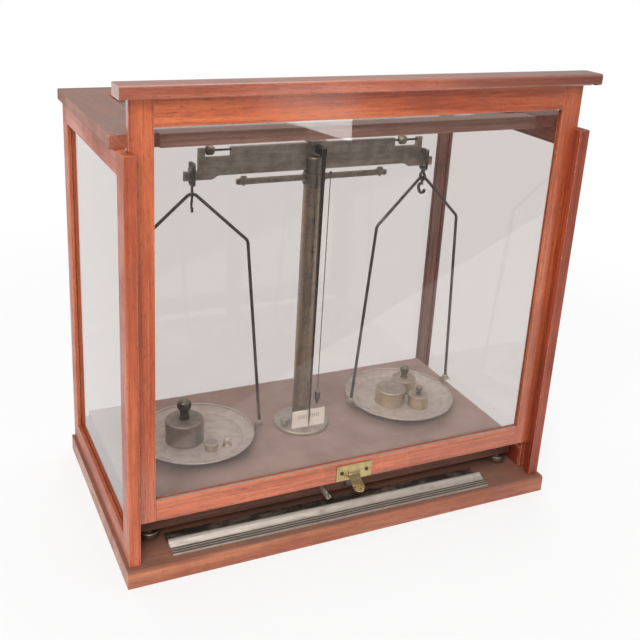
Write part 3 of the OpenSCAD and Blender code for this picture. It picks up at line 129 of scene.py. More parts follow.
class Bench:
    """Writes one material's node tree."""

    def __init__(self, name: str, world: bpy.types.World | None = None) -> None:
        """Starts an empty tree.

        Args:
            name: The material's name.
            world: The world whose tree is written instead of a new material's.
        """
        self.material = world or bpy.data.materials.new(name)
        self.material.use_nodes = True
        self.tree = self.material.node_tree
        self.tree.nodes.clear()
        if not world:
            self.coords = self.add("ShaderNodeTexCoord").outputs["Object"]

    def add(self, kind: str, **settings: Any) -> bpy.types.Node:
        """Adds a node and sets its properties.

        Args:
            kind: The node's type.
            settings: Properties of the node.

        Returns:
            The node.
        """
        node = self.tree.nodes.new(kind)
        for key, value in settings.items():
            setattr(node, key, value)
        return node

    def join(self, source: Any, node: bpy.types.Node, socket: str | int) -> None:
        """Links a socket, or sets a plain value, on a node's input.

        Args:
            source: A socket, a colour or a plain value.
            node: The node that takes it.
            socket: The input's name or number.
        """
        if isinstance(source, bpy.types.NodeSocket):
            self.tree.links.new(source, node.inputs[socket])
        elif isinstance(source, tuple) and len(source) == 3 and node.inputs[socket].type == "RGBA":
            node.inputs[socket].default_value = (*source, 1.0)
        else:
            node.inputs[socket].default_value = source

    def placed(self, scale: Sequence[float], shift: Sequence[float] = (0, 0, 0),
            turn: Sequence[float] = (0, 0, 0)) -> bpy.types.NodeSocket:
        """Returns object coordinates that are stretched, shifted and turned.

        Args:
            scale: The scale along each axis.
            shift: The offset along each axis.
            turn: The turn about each axis, in radians.

        Returns:
            The coordinates' socket.
        """
        node = self.add("ShaderNodeMapping")
        self.join(self.coords, node, "Vector")
        node.inputs["Location"].default_value = tuple(shift)
        node.inputs["Rotation"].default_value = tuple(turn)
        node.inputs["Scale"].default_value = tuple(scale)
        return node.outputs["Vector"]

    def shifted(self, *shift: float) -> bpy.types.NodeSocket:
        """Returns object coordinates that are only shifted."""
        return self.placed((1, 1, 1), shift)

    def parts(self, vector: bpy.types.NodeSocket) -> bpy.types.NodeOutputs:
        """Takes a vector apart.

        Args:
            vector: The vector's socket.

        Returns:
            The sockets X, Y and Z.
        """
        node = self.add("ShaderNodeSeparateXYZ")
        self.join(vector, node, 0)
        return node.outputs

    def ray(self, kind: str) -> bpy.types.NodeSocket:
        """Returns 1 for rays of one kind."""
        return self.add("ShaderNodeLightPath").outputs[f"Is {kind} Ray"]

    def along(self, run: Run, squeeze: float, shift: float) -> bpy.types.NodeSocket:
        """Returns coordinates that are drawn out along one axis.

        Args:
            run: The axis that marks run along.
            squeeze: The scale along that axis, under 1 for long marks.
            shift: An offset, so that no two pieces share a pattern.

        Returns:
            The coordinates' socket.
        """
        scale = [1.0, 1.0, 1.0]
        scale[run.value] = squeeze
        return self.placed(scale, (shift, shift * 0.71, shift * 1.37))

    def noise(self, vector: Any, scale: float, detail: float = 4.0, rough: float = 0.55,
            twist: float = 0.0) -> bpy.types.NodeSocket:
        """Returns the value of a noise texture.

        Args:
            vector: The coordinates.
            scale: How fine the noise is.
            detail: How many layers of finer noise there are.
            rough: How strong the finer layers are.
            twist: How far the noise is distorted.

        Returns:
            The noise's socket.
        """
        node = self.add("ShaderNodeTexNoise")
        self.join(vector, node, "Vector")
        for key, value in (("Scale", scale), ("Detail", detail), ("Roughness", rough), ("Distortion", twist)):
            node.inputs[key].default_value = value
        return node.outputs["Fac"]

    def ramp(self, value: Any, low: float, high: float, start: float = 0.0, end: float = 1.0) -> bpy.types.NodeSocket:
        """Maps low..high to start..end, clamped and smoothed.

        Args:
            value: The value to map.
            low: The value that gives start.
            high: The value that gives end.
            start: The result at low.
            end: The result at high.

        Returns:
            The result's socket.
        """
        node = self.add("ShaderNodeMapRange", interpolation_type="SMOOTHSTEP")
        self.join(value, node, "Value")
        for key, v in (("From Min", low), ("From Max", high), ("To Min", start), ("To Max", end)):
            node.inputs[key].default_value = v
        return node.outputs["Result"]

    def maths(self, operation: str, a: Any, b: Any = 0.0) -> bpy.types.NodeSocket:
        """Returns a sum, product or other operation of two values.

        Args:
            operation: The operation, such as MULTIPLY.
            a: The first value or socket.
            b: The second value or socket.

        Returns:
            The result's socket.
        """
        node = self.add("ShaderNodeMath", operation=operation)
        self.join(a, node, 0)
        self.join(b, node, 1)
        return node.outputs[0]

    def times(self, a: Any, b: Any) -> bpy.types.NodeSocket:
        """Returns a product."""
        return self.maths("MULTIPLY", a, b)

    def plus(self, a: Any, b: Any) -> bpy.types.NodeSocket:
        """Returns a sum."""
        return self.maths("ADD", a, b)

    def blend(self, factor: Any, a: Any, b: Any) -> bpy.types.NodeSocket:
        """Mixes two colours.

        Args:
            factor: The share of the second.
            a: The first value or socket.
            b: The second value or socket.

        Returns:
            The mixed colour's socket.
        """
        node = self.add("ShaderNodeMix", data_type="RGBA")
        self.join(factor, node, 0)
        self.join(a, node, 6)
        self.join(b, node, 7)
        return node.outputs[2]

    def attribute(self, name: str) -> bpy.types.NodeSocket:
        """Returns a number that the mesh carries."""
        return self.add("ShaderNodeAttribute", attribute_name=name).outputs["Fac"]

    def facing_up(self) -> bpy.types.NodeSocket:
        """Returns 1 where the surface looks up and 0 where it is upright."""
        normal = self.add("ShaderNodeNewGeometry").outputs["Normal"]
        return self.ramp(self.parts(normal)["Z"], 0.3, 0.95)

    def relief(self, height: Any, depth: float, strength: float = 1.0) -> bpy.types.NodeSocket:
        """Returns a bump normal from a height.

        Args:
            height: The height.
            depth: How deep a height of 1 is, in metres.
            strength: How strongly the relief shows.

        Returns:
            The normal's socket.
        """
        node = self.add("ShaderNodeBump")
        node.inputs["Strength"].default_value = strength
        node.inputs["Distance"].default_value = depth
        self.join(height, node, "Height")
        return node.outputs["Normal"]

    def surface(self, **sockets: Any) -> bpy.types.Node:
        """Adds the main shader, sets or links its sockets and returns it.

        Args:
            sockets: A socket or a value for each input, with _ for a space.

        Returns:
            The shader node.
        """
        node = self.add("ShaderNodeBsdfPrincipled")
        for key, value in sockets.items():
            self.join(value, node, key.replace("_", " "))
        return node

    def either(self, factor: Any, first: bpy.types.Node, second: bpy.types.Node) -> bpy.types.NodeSocket:
        """Mixes two shaders.

        Args:
            factor: The share of the second.
            first: The first shader.
            second: The second shader.

        Returns:
            The mixed shader's socket.
        """
        mix = self.add("ShaderNodeMixShader")
        self.join(factor, mix, 0)
        self.join(first.outputs[0], mix, 1)
        self.join(second.outputs[0], mix, 2)
        return mix.outputs[0]

    def glow(self, strength: Any) -> bpy.types.Node:
        """Adds a white light-giving shader.

        Args:
            strength: Its strength.

        Returns:
            The node.
        """
        node = self.add("ShaderNodeEmission")
        node.inputs["Color"].default_value = WHITE
        self.join(strength, node, "Strength")
        return node

    def dust(self, pattern: bpy.types.NodeSocket, high: float, amount: float) -> bpy.types.NodeSocket:
        """Returns how much dust covers each spot; only what looks up is dusty."""
        film = self.ramp(pattern, 0.25, high, 0.6, 1.0)
        return self.times(self.times(film, self.facing_up()), amount)

    def done(self, shader: bpy.types.NodeSocket) -> bpy.types.Material:
        """Links the shader to the output and returns the material."""
        self.tree.links.new(shader, self.add("ShaderNodeOutputMaterial").inputs["Surface"])
        return self.material


MADE: dict[str, bpy.types.Material] = {}


@dataclass(frozen=True)
class Finish:
    """A finish that can be asked for its material; the same finish is built once."""

    name: str

    def material(self) -> bpy.types.Material:
        """Returns this finish's material.

        Returns:
            The material.
        """
        if self.name not in MADE:
            MADE[self.name] = self.build(Bench(self.name))
        return MADE[self.name]

    def build(self, bench: Bench) -> bpy.types.Material:
        """Builds the material's nodes."""
        raise NotImplementedError


@dataclass(frozen=True)
class Mahogany(Finish):
    """French-polished mahogany with its grain, pores, worn arrises and dust, and a painted shade that darkens it
    towards +X.
    """

    run: Run
    seed: float
    light: Colour = shade(206, 104, 62)
    deep: Colour = shade(150, 58, 30)
    dust: float = 0.0
    gloss: float = 0.40
    grime: Colour = shade(160, 140, 130)
    # fade: how strong the painted shade is at the +X end of the piece
    fade: float = 0.0
    coat: float = 0.12

    def build(self, bench: Bench) -> bpy.types.Material:
        """Builds the material's nodes.

        Args:
            bench: The bench that writes the tree.

        Returns:
            The material.
        """
        bands = bench.noise(bench.along(self.run, 0.05, self.seed), 42, 5, 0.62, 0.9)
        stripes = bench.noise(bench.along(self.run, 0.02, self.seed + 3), 330, 4, 0.62)
        fibres = bench.noise(bench.along(self.run, 0.03, self.seed + 7), 1400, 3, 0.6)
        pores = bench.ramp(bench.noise(bench.along(self.run, 0.06, self.seed + 11), 1900, 2, 0.5), 0.585, 0.70)
        blotches = bench.noise(bench.shifted(self.seed, 5, 2), 13, 4, 0.6)
        colour = bench.blend(bench.ramp(bands, 0.36, 0.66), self.light, self.deep)
        colour = bench.blend(bench.ramp(stripes, 0.40, 0.68, 0.0, 0.6), colour, scaled(self.deep, 0.55))
        colour = bench.blend(bench.ramp(fibres, 0.38, 0.72, 0.0, 0.35), colour, scaled(self.light, 1.22))
        colour = bench.blend(bench.times(pores, 0.62), colour, scaled(self.deep, 0.28))
        colour = bench.blend(bench.ramp(blotches, 0.46, 0.74, 0.0, 0.4), colour, scaled(self.deep, 0.62))
        # Painted shade: the colour is darkened towards +X where less lamp light falls; it is not a stain of the wood
        if self.fade > 0:
            shadow = bench.ramp(bench.parts(bench.coords)["X"], -0.06, 0.27, 0.0, self.fade)
            colour = bench.blend(shadow, colour, scaled(self.deep, 0.45))
        chips = bench.ramp(bench.noise(bench.shifted(self.seed, 1, 1), 230, 4, 0.7), 0.56, 0.64, 0.25, 1.0)
        worn = bench.times(bench.attribute("wear"), bench.times(chips, 0.6))
        colour = bench.blend(worn, colour, shade(232, 168, 132))
        roughness = bench.ramp(blotches, 0.3, 0.7, self.gloss - 0.08, self.gloss + 0.14)
        if self.dust > 0:
            cover = bench.dust(bench.noise(bench.shifted(self.seed, 9, 4), 22, 6, 0.65), 0.72, self.dust)
            colour = bench.blend(cover, colour, self.grime)
            roughness = bench.plus(roughness, bench.times(cover, 0.35))
        height = bench.maths("SUBTRACT", bench.times(fibres, 0.35), pores)
        shader = bench.surface(Base_Color=colour, Roughness=roughness, Normal=bench.relief(height, 0.00014, 0.6),
            Coat_Weight=self.coat, Coat_Roughness=0.16)
        return bench.done(shader.outputs[0])


@dataclass(frozen=True)
class OldMetal(Finish):
    """A metal with brush marks, tarnish, scratches and rubbed arrises."""

    clean: Colour
    tarnish: Colour
    run: Run = Run.X
    seed: float = 0.0
    roughness: float = 0.34
    brushing: float = 0.5
    cover: float = 0.5
    metallic: float = 1.0
    worn: Colour = shade(205, 195, 170)

    def build(self, bench: Bench) -> bpy.types.Material:
        """Builds the material's nodes.

        Args:
            bench: The bench that writes the tree.

        Returns:
            The material.
        """
        strokes = bench.noise(bench.along(self.run, 0.015, self.seed + 1), 2400, 3, 0.6)
        streaks = bench.noise(bench.along(self.run, 0.06, self.seed + 5), 190, 4, 0.6, 0.3)
        clouds = bench.noise(bench.shifted(self.seed, 2, 8), 60, 6, 0.62, 0.2)
        spots = bench.ramp(bench.noise(bench.shifted(3, self.seed, 1), 620, 3, 0.6), 0.62, 0.72)
        stain = bench.ramp(bench.plus(bench.times(clouds, 0.7), bench.times(streaks, 0.3)), 0.36, 0.64, 0.0, 1.0)
        colour = bench.blend(bench.times(stain, self.cover), self.clean, self.tarnish)
        colour = bench.blend(bench.ramp(strokes, 0.35, 0.7, 0.0, 0.35 * self.brushing), colour,
            scaled(self.tarnish, 0.5))
        colour = bench.blend(bench.times(spots, 0.35), colour, scaled(self.tarnish, 0.45))
        rub = bench.times(bench.attribute("wear"), bench.ramp(clouds, 0.4, 0.6, 0.15, 0.7))
        colour = bench.blend(rub, colour, self.worn)
        roughness = bench.plus(bench.ramp(strokes, 0.3, 0.7, self.roughness - 0.06, self.roughness + 0.06),
            bench.times(stain, 0.16))
        height = bench.plus(bench.times(strokes, self.brushing), bench.times(spots, -0.3))
        shader = bench.surface(Base_Color=colour, Roughness=roughness, Metallic=self.metallic,
            Normal=bench.relief(height, 0.00004, 0.45))
        return bench.done(shader.outputs[0])


@dataclass(frozen=True)
class Pane(Finish):
    """Old window glass, with a film of dust."""

    tint: Colour = (0.83, 0.80, 0.787)
    left_tint: Colour = (0.83, 0.80, 0.787)

    def build(self, bench: Bench) -> bpy.types.Material:
        """Builds the material's nodes.

        Args:
            bench: The bench that writes the tree.

        Returns:
            The material.
        """
        smears = bench.ramp(bench.noise(bench.placed((1, 1, 0.5), (2, 1, 4)), 16, 5, 0.6, 0.6), 0.4, 0.75, 0.01, 0.05)
        inside = bench.ramp(bench.parts(bench.coords)["X"], -0.24, -0.2)
        tint = bench.blend(inside, self.left_tint, self.tint)
        glass = bench.surface(Base_Color=tint, Roughness=smears, Transmission_Weight=1.0, IOR=1.45)
        passing = bench.add("ShaderNodeBsdfTransparent")
        passing.inputs["Color"].default_value = (*scaled(self.tint, 0.97), 1.0)
        return bench.done(bench.either(bench.ray("Shadow"), glass, passing))


@dataclass(frozen=True)
class Plain(Finish):
    """A simple coloured material with a fine uneven surface."""

    colour: Colour = (0.5, 0.5, 0.5)
    second: Colour = (0.4, 0.4, 0.4)
    scale: float = 300.0
    roughness: float = 0.55

    def build(self, bench: Bench) -> bpy.types.Material:
        """Builds the material's nodes.

        Args:
            bench: The bench that writes the tree.

        Returns:
            The material.
        """
        grain = bench.noise(bench.placed((1, 1, 1)), self.scale, 5, 0.6)
        colour = bench.blend(bench.ramp(grain, 0.35, 0.7), self.colour, self.second)
        shader = bench.surface(Base_Color=colour, Roughness=self.roughness, Normal=bench.relief(grain, 0.0001, 0.4))
        return bench.done(shader.outputs[0])


@dataclass(frozen=True)
class Turned(Finish):
    """A lathe-turned metal: fine rings about an upright axis, soft bands of tarnish, worn edges."""

    light: Colour
    deep: Colour
    centre: tuple[float, float]
    seed: float = 0.0
    roughness: float = 0.3
    rings: float = 0.6
    dust: float = 0.55

    def build(self, bench: Bench) -> bpy.types.Material:
        """Builds the material's nodes.

        Args:
            bench: The bench that writes the tree.

        Returns:
            The material.
        """
        about = bench.shifted(-self.centre[0], -self.centre[1], 0)
        split = bench.parts(about)
        flat = bench.add("ShaderNodeCombineXYZ")
        bench.join(split["X"], flat, 0)
        bench.join(split["Y"], flat, 1)
        far = bench.add("ShaderNodeVectorMath", operation="LENGTH")
        bench.join(flat.outputs[0], far, 0)
        section = bench.add("ShaderNodeCombineXYZ")
        bench.join(far.outputs["Value"], section, 0)
        bench.join(split["Z"], section, 1)
        bench.join(self.seed, section, 2)
        cuts = bench.noise(section.outputs[0], 2200, 2, 0.5)
        bands = bench.noise(section.outputs[0], 160, 3, 0.5)
        clouds = bench.noise(bench.shifted(self.seed, 4, 7), 90, 6, 0.62, 0.3)
        specks = bench.ramp(bench.noise(bench.shifted(self.seed, 1, 3), 900, 3, 0.6), 0.62, 0.74)
        stain = bench.ramp(bench.plus(bench.times(clouds, 0.65), bench.times(bands, 0.35)), 0.36, 0.64)
        colour = bench.blend(stain, self.light, self.deep)
        colour = bench.blend(bench.ramp(cuts, 0.4, 0.7, 0.0, 0.3 * self.rings), colour, scaled(self.deep, 0.55))
        colour = bench.blend(bench.times(specks, 0.4), colour, scaled(self.deep, 0.4))
        colour = bench.blend(bench.times(bench.attribute("wear"), 0.55), colour, scaled(self.light, 1.5))
        roughness = bench.plus(bench.ramp(clouds, 0.3, 0.7, self.roughness - 0.05, self.roughness + 0.12),
            bench.times(specks, 0.15))
        cover = bench.dust(bench.noise(bench.shifted(self.seed, 6, 2), 45, 5, 0.6), 0.75, self.dust)
        colour = bench.blend(cover, colour, shade(172, 158, 148))
        roughness = bench.plus(roughness, bench.times(cover, 0.4))
        height = bench.plus(bench.times(cuts, self.rings), bench.times(specks, -0.4))
        shader = bench.surface(Base_Color=colour, Roughness=roughness, Metallic=bench.maths("SUBTRACT", 0.9, cover),
            Normal=bench.relief(height, 0.00004, 0.45))
        return bench.done(shader.outputs[0])


@dataclass(frozen=True)
class StripMetal(Finish):
    """Rolled metal: rubbed ribs in front of a bright ridge, painted shade along the grooves between the ribs, and a
    flange behind it that has gone dark and mottled.
    """

    ridge_y: float = -0.1175
    bright: Colour = shade(222, 214, 204)
    dull: Colour = shade(176, 164, 150)
    dark: Colour = shade(84, 76, 68)
    second: Colour = shade(142, 132, 120)
    # Painted shade: where dark lines are drawn along the grooves between the ribs, and how wide they are
    grooves: tuple[float, ...] = (-0.1302, -0.1338, -0.1374)
    groove_half: float = 0.00035
    lean: float = 0.0122

    def build(self, bench: Bench) -> bpy.types.Material:
        """Builds the material's nodes.

        Args:
            bench: The bench that writes the tree.

        Returns:
            The material.
        """
        split = bench.parts(bench.coords)
        slant = bench.plus(split["Y"], bench.times(split["X"], self.lean))
        mottle = bench.noise(bench.placed((0.4, 1, 1), (4, 1, 6)), 130, 6, 0.7, 0.4)
        streaks = bench.noise(bench.along(Run.X, 0.02, 5.0), 1300, 3, 0.6)
        behind = bench.ramp(slant, self.ridge_y - 0.0003, self.ridge_y + 0.0003)
        flange = bench.blend(bench.ramp(mottle, 0.44, 0.62), self.dark, self.second)
        front = bench.blend(bench.ramp(mottle, 0.5, 0.72, 0.0, 0.6), self.bright, self.dull)
        front = bench.blend(bench.ramp(streaks, 0.4, 0.7, 0.0, 0.3), front, scaled(self.dull, 0.6))
        # Painted shade in the grooves between the ribs
        for groove in self.grooves:
            near = bench.maths("LESS_THAN", bench.maths("ABSOLUTE", bench.maths("SUBTRACT", slant, groove)),
                self.groove_half)
            front = bench.blend(bench.times(near, 0.75), front, self.dark)
        colour = bench.blend(behind, front, flange)
        roughness = bench.ramp(mottle, 0.3, 0.7, 0.34, 0.5)
        shader = bench.surface(Base_Color=colour, Roughness=roughness, Metallic=0.75,
            Normal=bench.relief(streaks, 0.00005, 0.4))
        return bench.done(shader.outputs[0])


class Shop:
    """Makes meshes and hands them to the frame."""

    def __init__(self, frame: dict[str, Any]) -> None:
        """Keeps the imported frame.
        """
        self.frame = frame
        self.home = {node: body for body, nodes in frame["record"]["behaviour"]["bodies"].items() for node in nodes}
        self.slots = {part["node"]: part["material_slot"] for part in frame["record"]["subparts"]}

    def show(self, name: str, mesh: bpy.types.Mesh, finish: Finish, *nodes: str, body: str | None = None,
            slot: str | None = None) -> bpy.types.Object:
        """Puts a finished mesh in the scene in place of CAD nodes, or beside them.

        Args:
            name: The piece's name.
            mesh: Its mesh, in metres, in the shared frame.
            finish: Its finish.
            nodes: CAD nodes that it stands for.
            body: The body that it rides on, where it replaces no node.
            slot: Not used; meant as the record's material slot, where it replaces no node.

        Returns:
            The new object.
        """
        piece = put(name, mesh)
        mesh.materials.clear()
        mesh.materials.append(finish.material())
        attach(piece, body or self.home[nodes[0]])
        if nodes:
            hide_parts(*nodes)
        log.info("%s: %d faces, rides on %s", name, len(mesh.polygons), body or self.home[nodes[0]])
        return piece

    def dress(self, node: str, finish: Finish) -> None:
        """Gives a CAD node that stays in view its finish.

        Args:
            node: The CAD node.
            finish: Its finish.
        """
        mesh = self.frame["nodes"][node].data
        mesh.materials.clear()
        mesh.materials.append(finish.material())
        log.info("%s: kept, dressed with %s", node, finish.name)

    def rounded(self, node: str, radius: float, finish: Finish, shortest: float = 3.0, sharp: float = 35.0,
            steps: int = 2) -> bpy.types.Object:
        """Copies a CAD node's solid, rounds its arrises and dresses it.

        Args:
            node: The CAD node.
            radius: The rounding of its arrises, in mm.
            finish: Its finish.
            shortest: Edges shorter than this, in mm, stay sharp.
            sharp: Edges that turn less than this angle, in degrees, are smooth already.
            steps: Facets of each rounding.

        Returns:
            The new object, which replaces the node.
        """
        bm = bmesh.new()
        bm.from_mesh(self.frame["nodes"][node].data)
        bmesh.ops.remove_doubles(bm, verts=bm.verts, dist=WELD)
        bmesh.ops.dissolve_limit(bm, angle_limit=FLAT_TURN, verts=bm.verts, edges=bm.edges, delimit=set())
        wear = bm.loops.layers.float.new("wear")
        edges = [e for e in bm.edges if e.is_manifold and e.calc_face_angle(0.0) > math.radians(sharp)
            and e.calc_length() > shortest * MM]
        if radius > 0 and edges:
            self.bevelled(bm, wear, edges, radius, steps)
        return self.show(node + "_piece", self.baked(bm, node + "_dressed", CUT_SHADE), finish, node)

    @staticmethod
    def bevelled(bm: bmesh.types.BMesh, wear: bmesh.types.BMLayerItem, edges: list[bmesh.types.BMEdge], radius: float,
            steps: int = 2) -> None:
        """Rounds edges and marks their new faces as worn.

        Args:
            bm: The mesh being made.
            wear: The layer that holds the wear.
            edges: The edges to round.
            radius: The rounding, in mm.
            steps: Facets of each rounding.
        """
        made = bmesh.ops.bevel(bm, geom=edges, offset=radius * MM, offset_type="OFFSET", segments=steps, profile=0.5,
            affect="EDGES", clamp_overlap=True)
        for face in made["faces"]:
            for loop in face.loops:
                loop[wear] = 1.0

    @staticmethod
    def baked(bm: bmesh.types.BMesh, name: str, angle: float) -> bpy.types.Mesh:
        """Turns a mesh being made into a finished one.

        Args:
            bm: The mesh being made, which is freed.
            name: The new mesh's name.
            angle: Edges that turn more than this, in degrees, look sharp.

        Returns:
            The mesh, smoothly shaded.
        """
        mesh = bpy.data.meshes.new(name)
        bm.to_mesh(mesh)
        bm.free()
        return Shop.smoothed(mesh, angle)

    @staticmethod
    def smoothed(mesh: bpy.types.Mesh, angle: float) -> bpy.types.Mesh:
        """Shades a mesh smooth up to an angle, with its flats kept flat.

        Args:
            mesh: The mesh.
            angle: Edges that turn more than this, in degrees, look sharp.

        Returns:
            The shaded mesh; the one given is gone.
        """
        mesh.shade_smooth()
        mesh.set_sharp_from_angle(angle=math.radians(angle))
        holder = put("holder", mesh)
        weigh = holder.modifiers.new("Weighted normals", "WEIGHTED_NORMAL")
        weigh.keep_sharp = True
        weigh.weight = 60
        result = evaluated(holder)
        bpy.data.objects.remove(holder)
        bpy.data.meshes.remove(mesh)
        return result

    @staticmethod
    def eased(profile: Sequence[tuple[float, float]], ease: float, closed: bool) -> list[tuple[float, float, float]]:
        """Rounds the sharp corners of a lathe profile.

        Args:
            profile: Points (radius, height) in mm.
            ease: The rounding, in mm.
            closed: True where the last point joins the first.

        Returns:
            Points (radius, height, worn), worn being 1 on a rounded corner.
        """
        points = [Vector(p) for p in profile]
        result: list[tuple[float, float, float]] = []
        for index, here in enumerate(points):
            inner = closed or 0 < index < len(points) - 1
            before, after = points[index - 1], points[(index + 1) % len(points)]
            come, leave = here - before, after - here
            if not inner or ease <= 0 or come.length < TINY or leave.length < TINY or come.angle(leave) < CREASE_TURN:
                result.append((here.x, here.y, 0.0))
                continue
            reach = min(ease, come.length * 0.4, leave.length * 0.4)
            start, end = here - come.normalized() * reach, here + leave.normalized() * reach
            middle = (start + end) / 4 + here / 2
            result += [(p.x, p.y, 1.0) for p in (start, middle, end)]
        return result

    @staticmethod
    def turned(profile: Sequence[tuple[float, float]], centre: tuple[float, float], sides: int = 96, ease: float = 0.3,
            closed: bool = False) -> bpy.types.Mesh:
        """Turns a closed or pole-to-pole profile about an upright axis, with its corners eased.

        Args:
            profile: Points (radius, height) in mm, from the bottom's centre round the outside to the top's centre.
            centre: The axis's place (x, y), in mm.
            sides: Number of segments round.
            ease: The rounding of its corners, in mm.
            closed: True for a ring, whose last point joins the first.

        Returns:
            A closed mesh that carries its wear.
        """
        points = Shop.eased(profile, ease, closed)
        bm = bmesh.new()
        wear = bm.loops.layers.float.new("wear")
        turns = [2 * math.pi * i / sides for i in range(sides)]
        rings: list[list[bmesh.types.BMVert]] = []
        for radius, height, _ in points:
            if radius < TINY:
                rings.append([bm.verts.new((centre[0] * MM, centre[1] * MM, height * MM))])
            else:
                rings.append([bm.verts.new(((centre[0] + radius * math.cos(a)) * MM,
                    (centre[1] + radius * math.sin(a)) * MM, height * MM)) for a in turns])
        bands = list(zip(range(len(points)), range(1, len(points)))) + ([(len(points) - 1, 0)] if closed else [])
        for first, second in bands:
            low, high = rings[first], rings[second]
            worn = 1.0 if points[first][2] and points[second][2] else 0.0
            for i in range(sides):
                j = (i + 1) % sides
                corners = list(dict.fromkeys([low[i % len(low)], low[j % len(low)], high[j % len(high)],
                    high[i % len(high)]]))
                if len(corners) > 2:
                    for loop in bm.faces.new(corners).loops:
                        loop[wear] = worn
        bmesh.ops.recalc_face_normals(bm, faces=bm.faces)
        return Shop.baked(bm, "turned", LATHE_SHADE)

    @staticmethod
    def slab(outline: Sequence[tuple[float, float]], front: float, rear: float, bevel: float) -> bpy.types.Mesh:
        """Draws an outline in the XZ plane out along Y and rounds its arrises.

        Args:
            outline: Points (x, z) in mm, in order.
            front: Its lowest y, in mm.
            rear: Its highest y, in mm.
            bevel: The rounding of its arrises, in mm.

        Returns:
            A closed mesh that carries its wear.
        """
        bm = bmesh.new()
        wear = bm.loops.layers.float.new("wear")
        near = [bm.verts.new((x * MM, front * MM, z * MM)) for x, z in outline]
        far = [bm.verts.new((x * MM, rear * MM, z * MM)) for x, z in outline]
        bm.faces.new(near)
        bm.faces.new(list(reversed(far)))
        for i in range(len(outline)):
            j = (i + 1) % len(outline)
            bm.faces.new((near[j], near[i], far[i], far[j]))
        bmesh.ops.recalc_face_normals(bm, faces=bm.faces)
        edges = [e for e in bm.edges if e.calc_face_angle(0.0) > ARRIS_TURN]
        Shop.bevelled(bm, wear, edges, bevel)
        return Shop.baked(bm, "slab", CUT_SHADE)


class Layout(Enum):
    """How a rule sets out the pieces that it repeats."""

    RING = 0
    ROW = 1


class Rule:
    """Writes one Geometry Nodes tree with named sizes, and casts it into plain meshes."""

    def __init__(self, name: str) -> None:
        """Starts a tree with a geometry output.

        Args:
            name: The tree's name.
        """
        self.tree = bpy.data.node_groups.new(name, "GeometryNodeTree")
        self.tree.interface.new_socket("Geometry", in_out="OUTPUT", socket_type="NodeSocketGeometry")
        self.inlet = self.tree.nodes.new("NodeGroupInput")
        self.keys: dict[str, str] = {}
        self.paint: bpy.types.Node | None = None

    def size(self, name: str, whole: bool = False) -> bpy.types.NodeSocket:
        """Adds a named size to the tree and returns its socket.

        Args:
            name: The size's name.
            whole: True for a count, False for a length.

        Returns:
            The socket that carries it.
        """
        item = self.tree.interface.new_socket(name, in_out="INPUT", socket_type="NodeSocketInt"
            if whole else "NodeSocketFloat")
        self.keys[name] = item.identifier
        return next(s for s in self.inlet.outputs if s.identifier == item.identifier)

    def add(self, kind: str, links: dict[str | int, Any] | None = None, **settings: Any) -> bpy.types.Node:
        """Adds a node, sets its properties and links or sets its inputs.

        Args:
            kind: The node's type.
            links: A socket or a plain value for each input.
            settings: Properties of the node.

        Returns:
            The node.
        """
        node = self.tree.nodes.new(kind)
        for key, value in settings.items():
            setattr(node, key, value)
        for key, value in (links or {}).items():
            if isinstance(value, bpy.types.NodeSocket):
                self.tree.links.new(value, node.inputs[key])
            else:
                node.inputs[key].default_value = value
        return node

    def maths(self, operation: str, a: Any, b: Any = 0.0) -> bpy.types.NodeSocket:
        """Returns a sum, product or other operation of two values."""
        return self.add("ShaderNodeMath", {0: a, 1: b}, operation=operation).outputs[0]

    def times(self, a: Any, b: Any) -> bpy.types.NodeSocket:
        """Returns a product."""
        return self.maths("MULTIPLY", a, b)

    def geo(self, kind: str, links: dict[str | int, Any] | None = None, **settings: Any) -> bpy.types.NodeSocket:
        """Adds a geometry node and returns its first output."""
        return self.add("GeometryNode" + kind, links, **settings).outputs[0]

    def point(self, x: Any = 0.0, y: Any = 0.0, z: Any = 0.0) -> bpy.types.NodeSocket:
        """Returns a vector made of three values."""
        return self.add("ShaderNodeCombineXYZ", {0: x, 1: y, 2: z}).outputs[0]

    def close(self, geometry: bpy.types.NodeSocket) -> None:
        """Ends the tree: instances are made real and take their material.

        Args:
            geometry: The geometry to end with.
        """
        real = self.add("GeometryNodeRealizeInstances", {0: geometry})
        self.paint = self.add("GeometryNodeSetMaterial", {0: real.outputs[0]})
        out = self.tree.nodes.new("NodeGroupOutput")
        self.tree.links.new(self.paint.outputs[0], out.inputs[0])

    def cast(self, finish: Finish, **sizes: float | int) -> bpy.types.Mesh:
        """Evaluates the tree with these sizes and returns a plain mesh.

        Args:
            finish: The finish that the tree gives its result.
            sizes: A value for each named size, in metres or as a count, with _ for a space.

        Returns:
            The mesh, with no modifier left behind it.
        """
        self.paint.inputs["Material"].default_value = finish.material()
        holder = bpy.data.objects.new("cast", bpy.data.meshes.new("cast"))
        modifier = holder.modifiers.new("rule", "NODES")
        modifier.node_group = self.tree
        for name, value in sizes.items():
            modifier[self.keys[name.replace("_", " ")]] = value
        bpy.context.collection.objects.link(holder)
        mesh = evaluated(holder)
        holder.modifiers.remove(modifier)
        empty = holder.data
        bpy.data.objects.remove(holder)
        bpy.data.meshes.remove(empty)
        return mesh


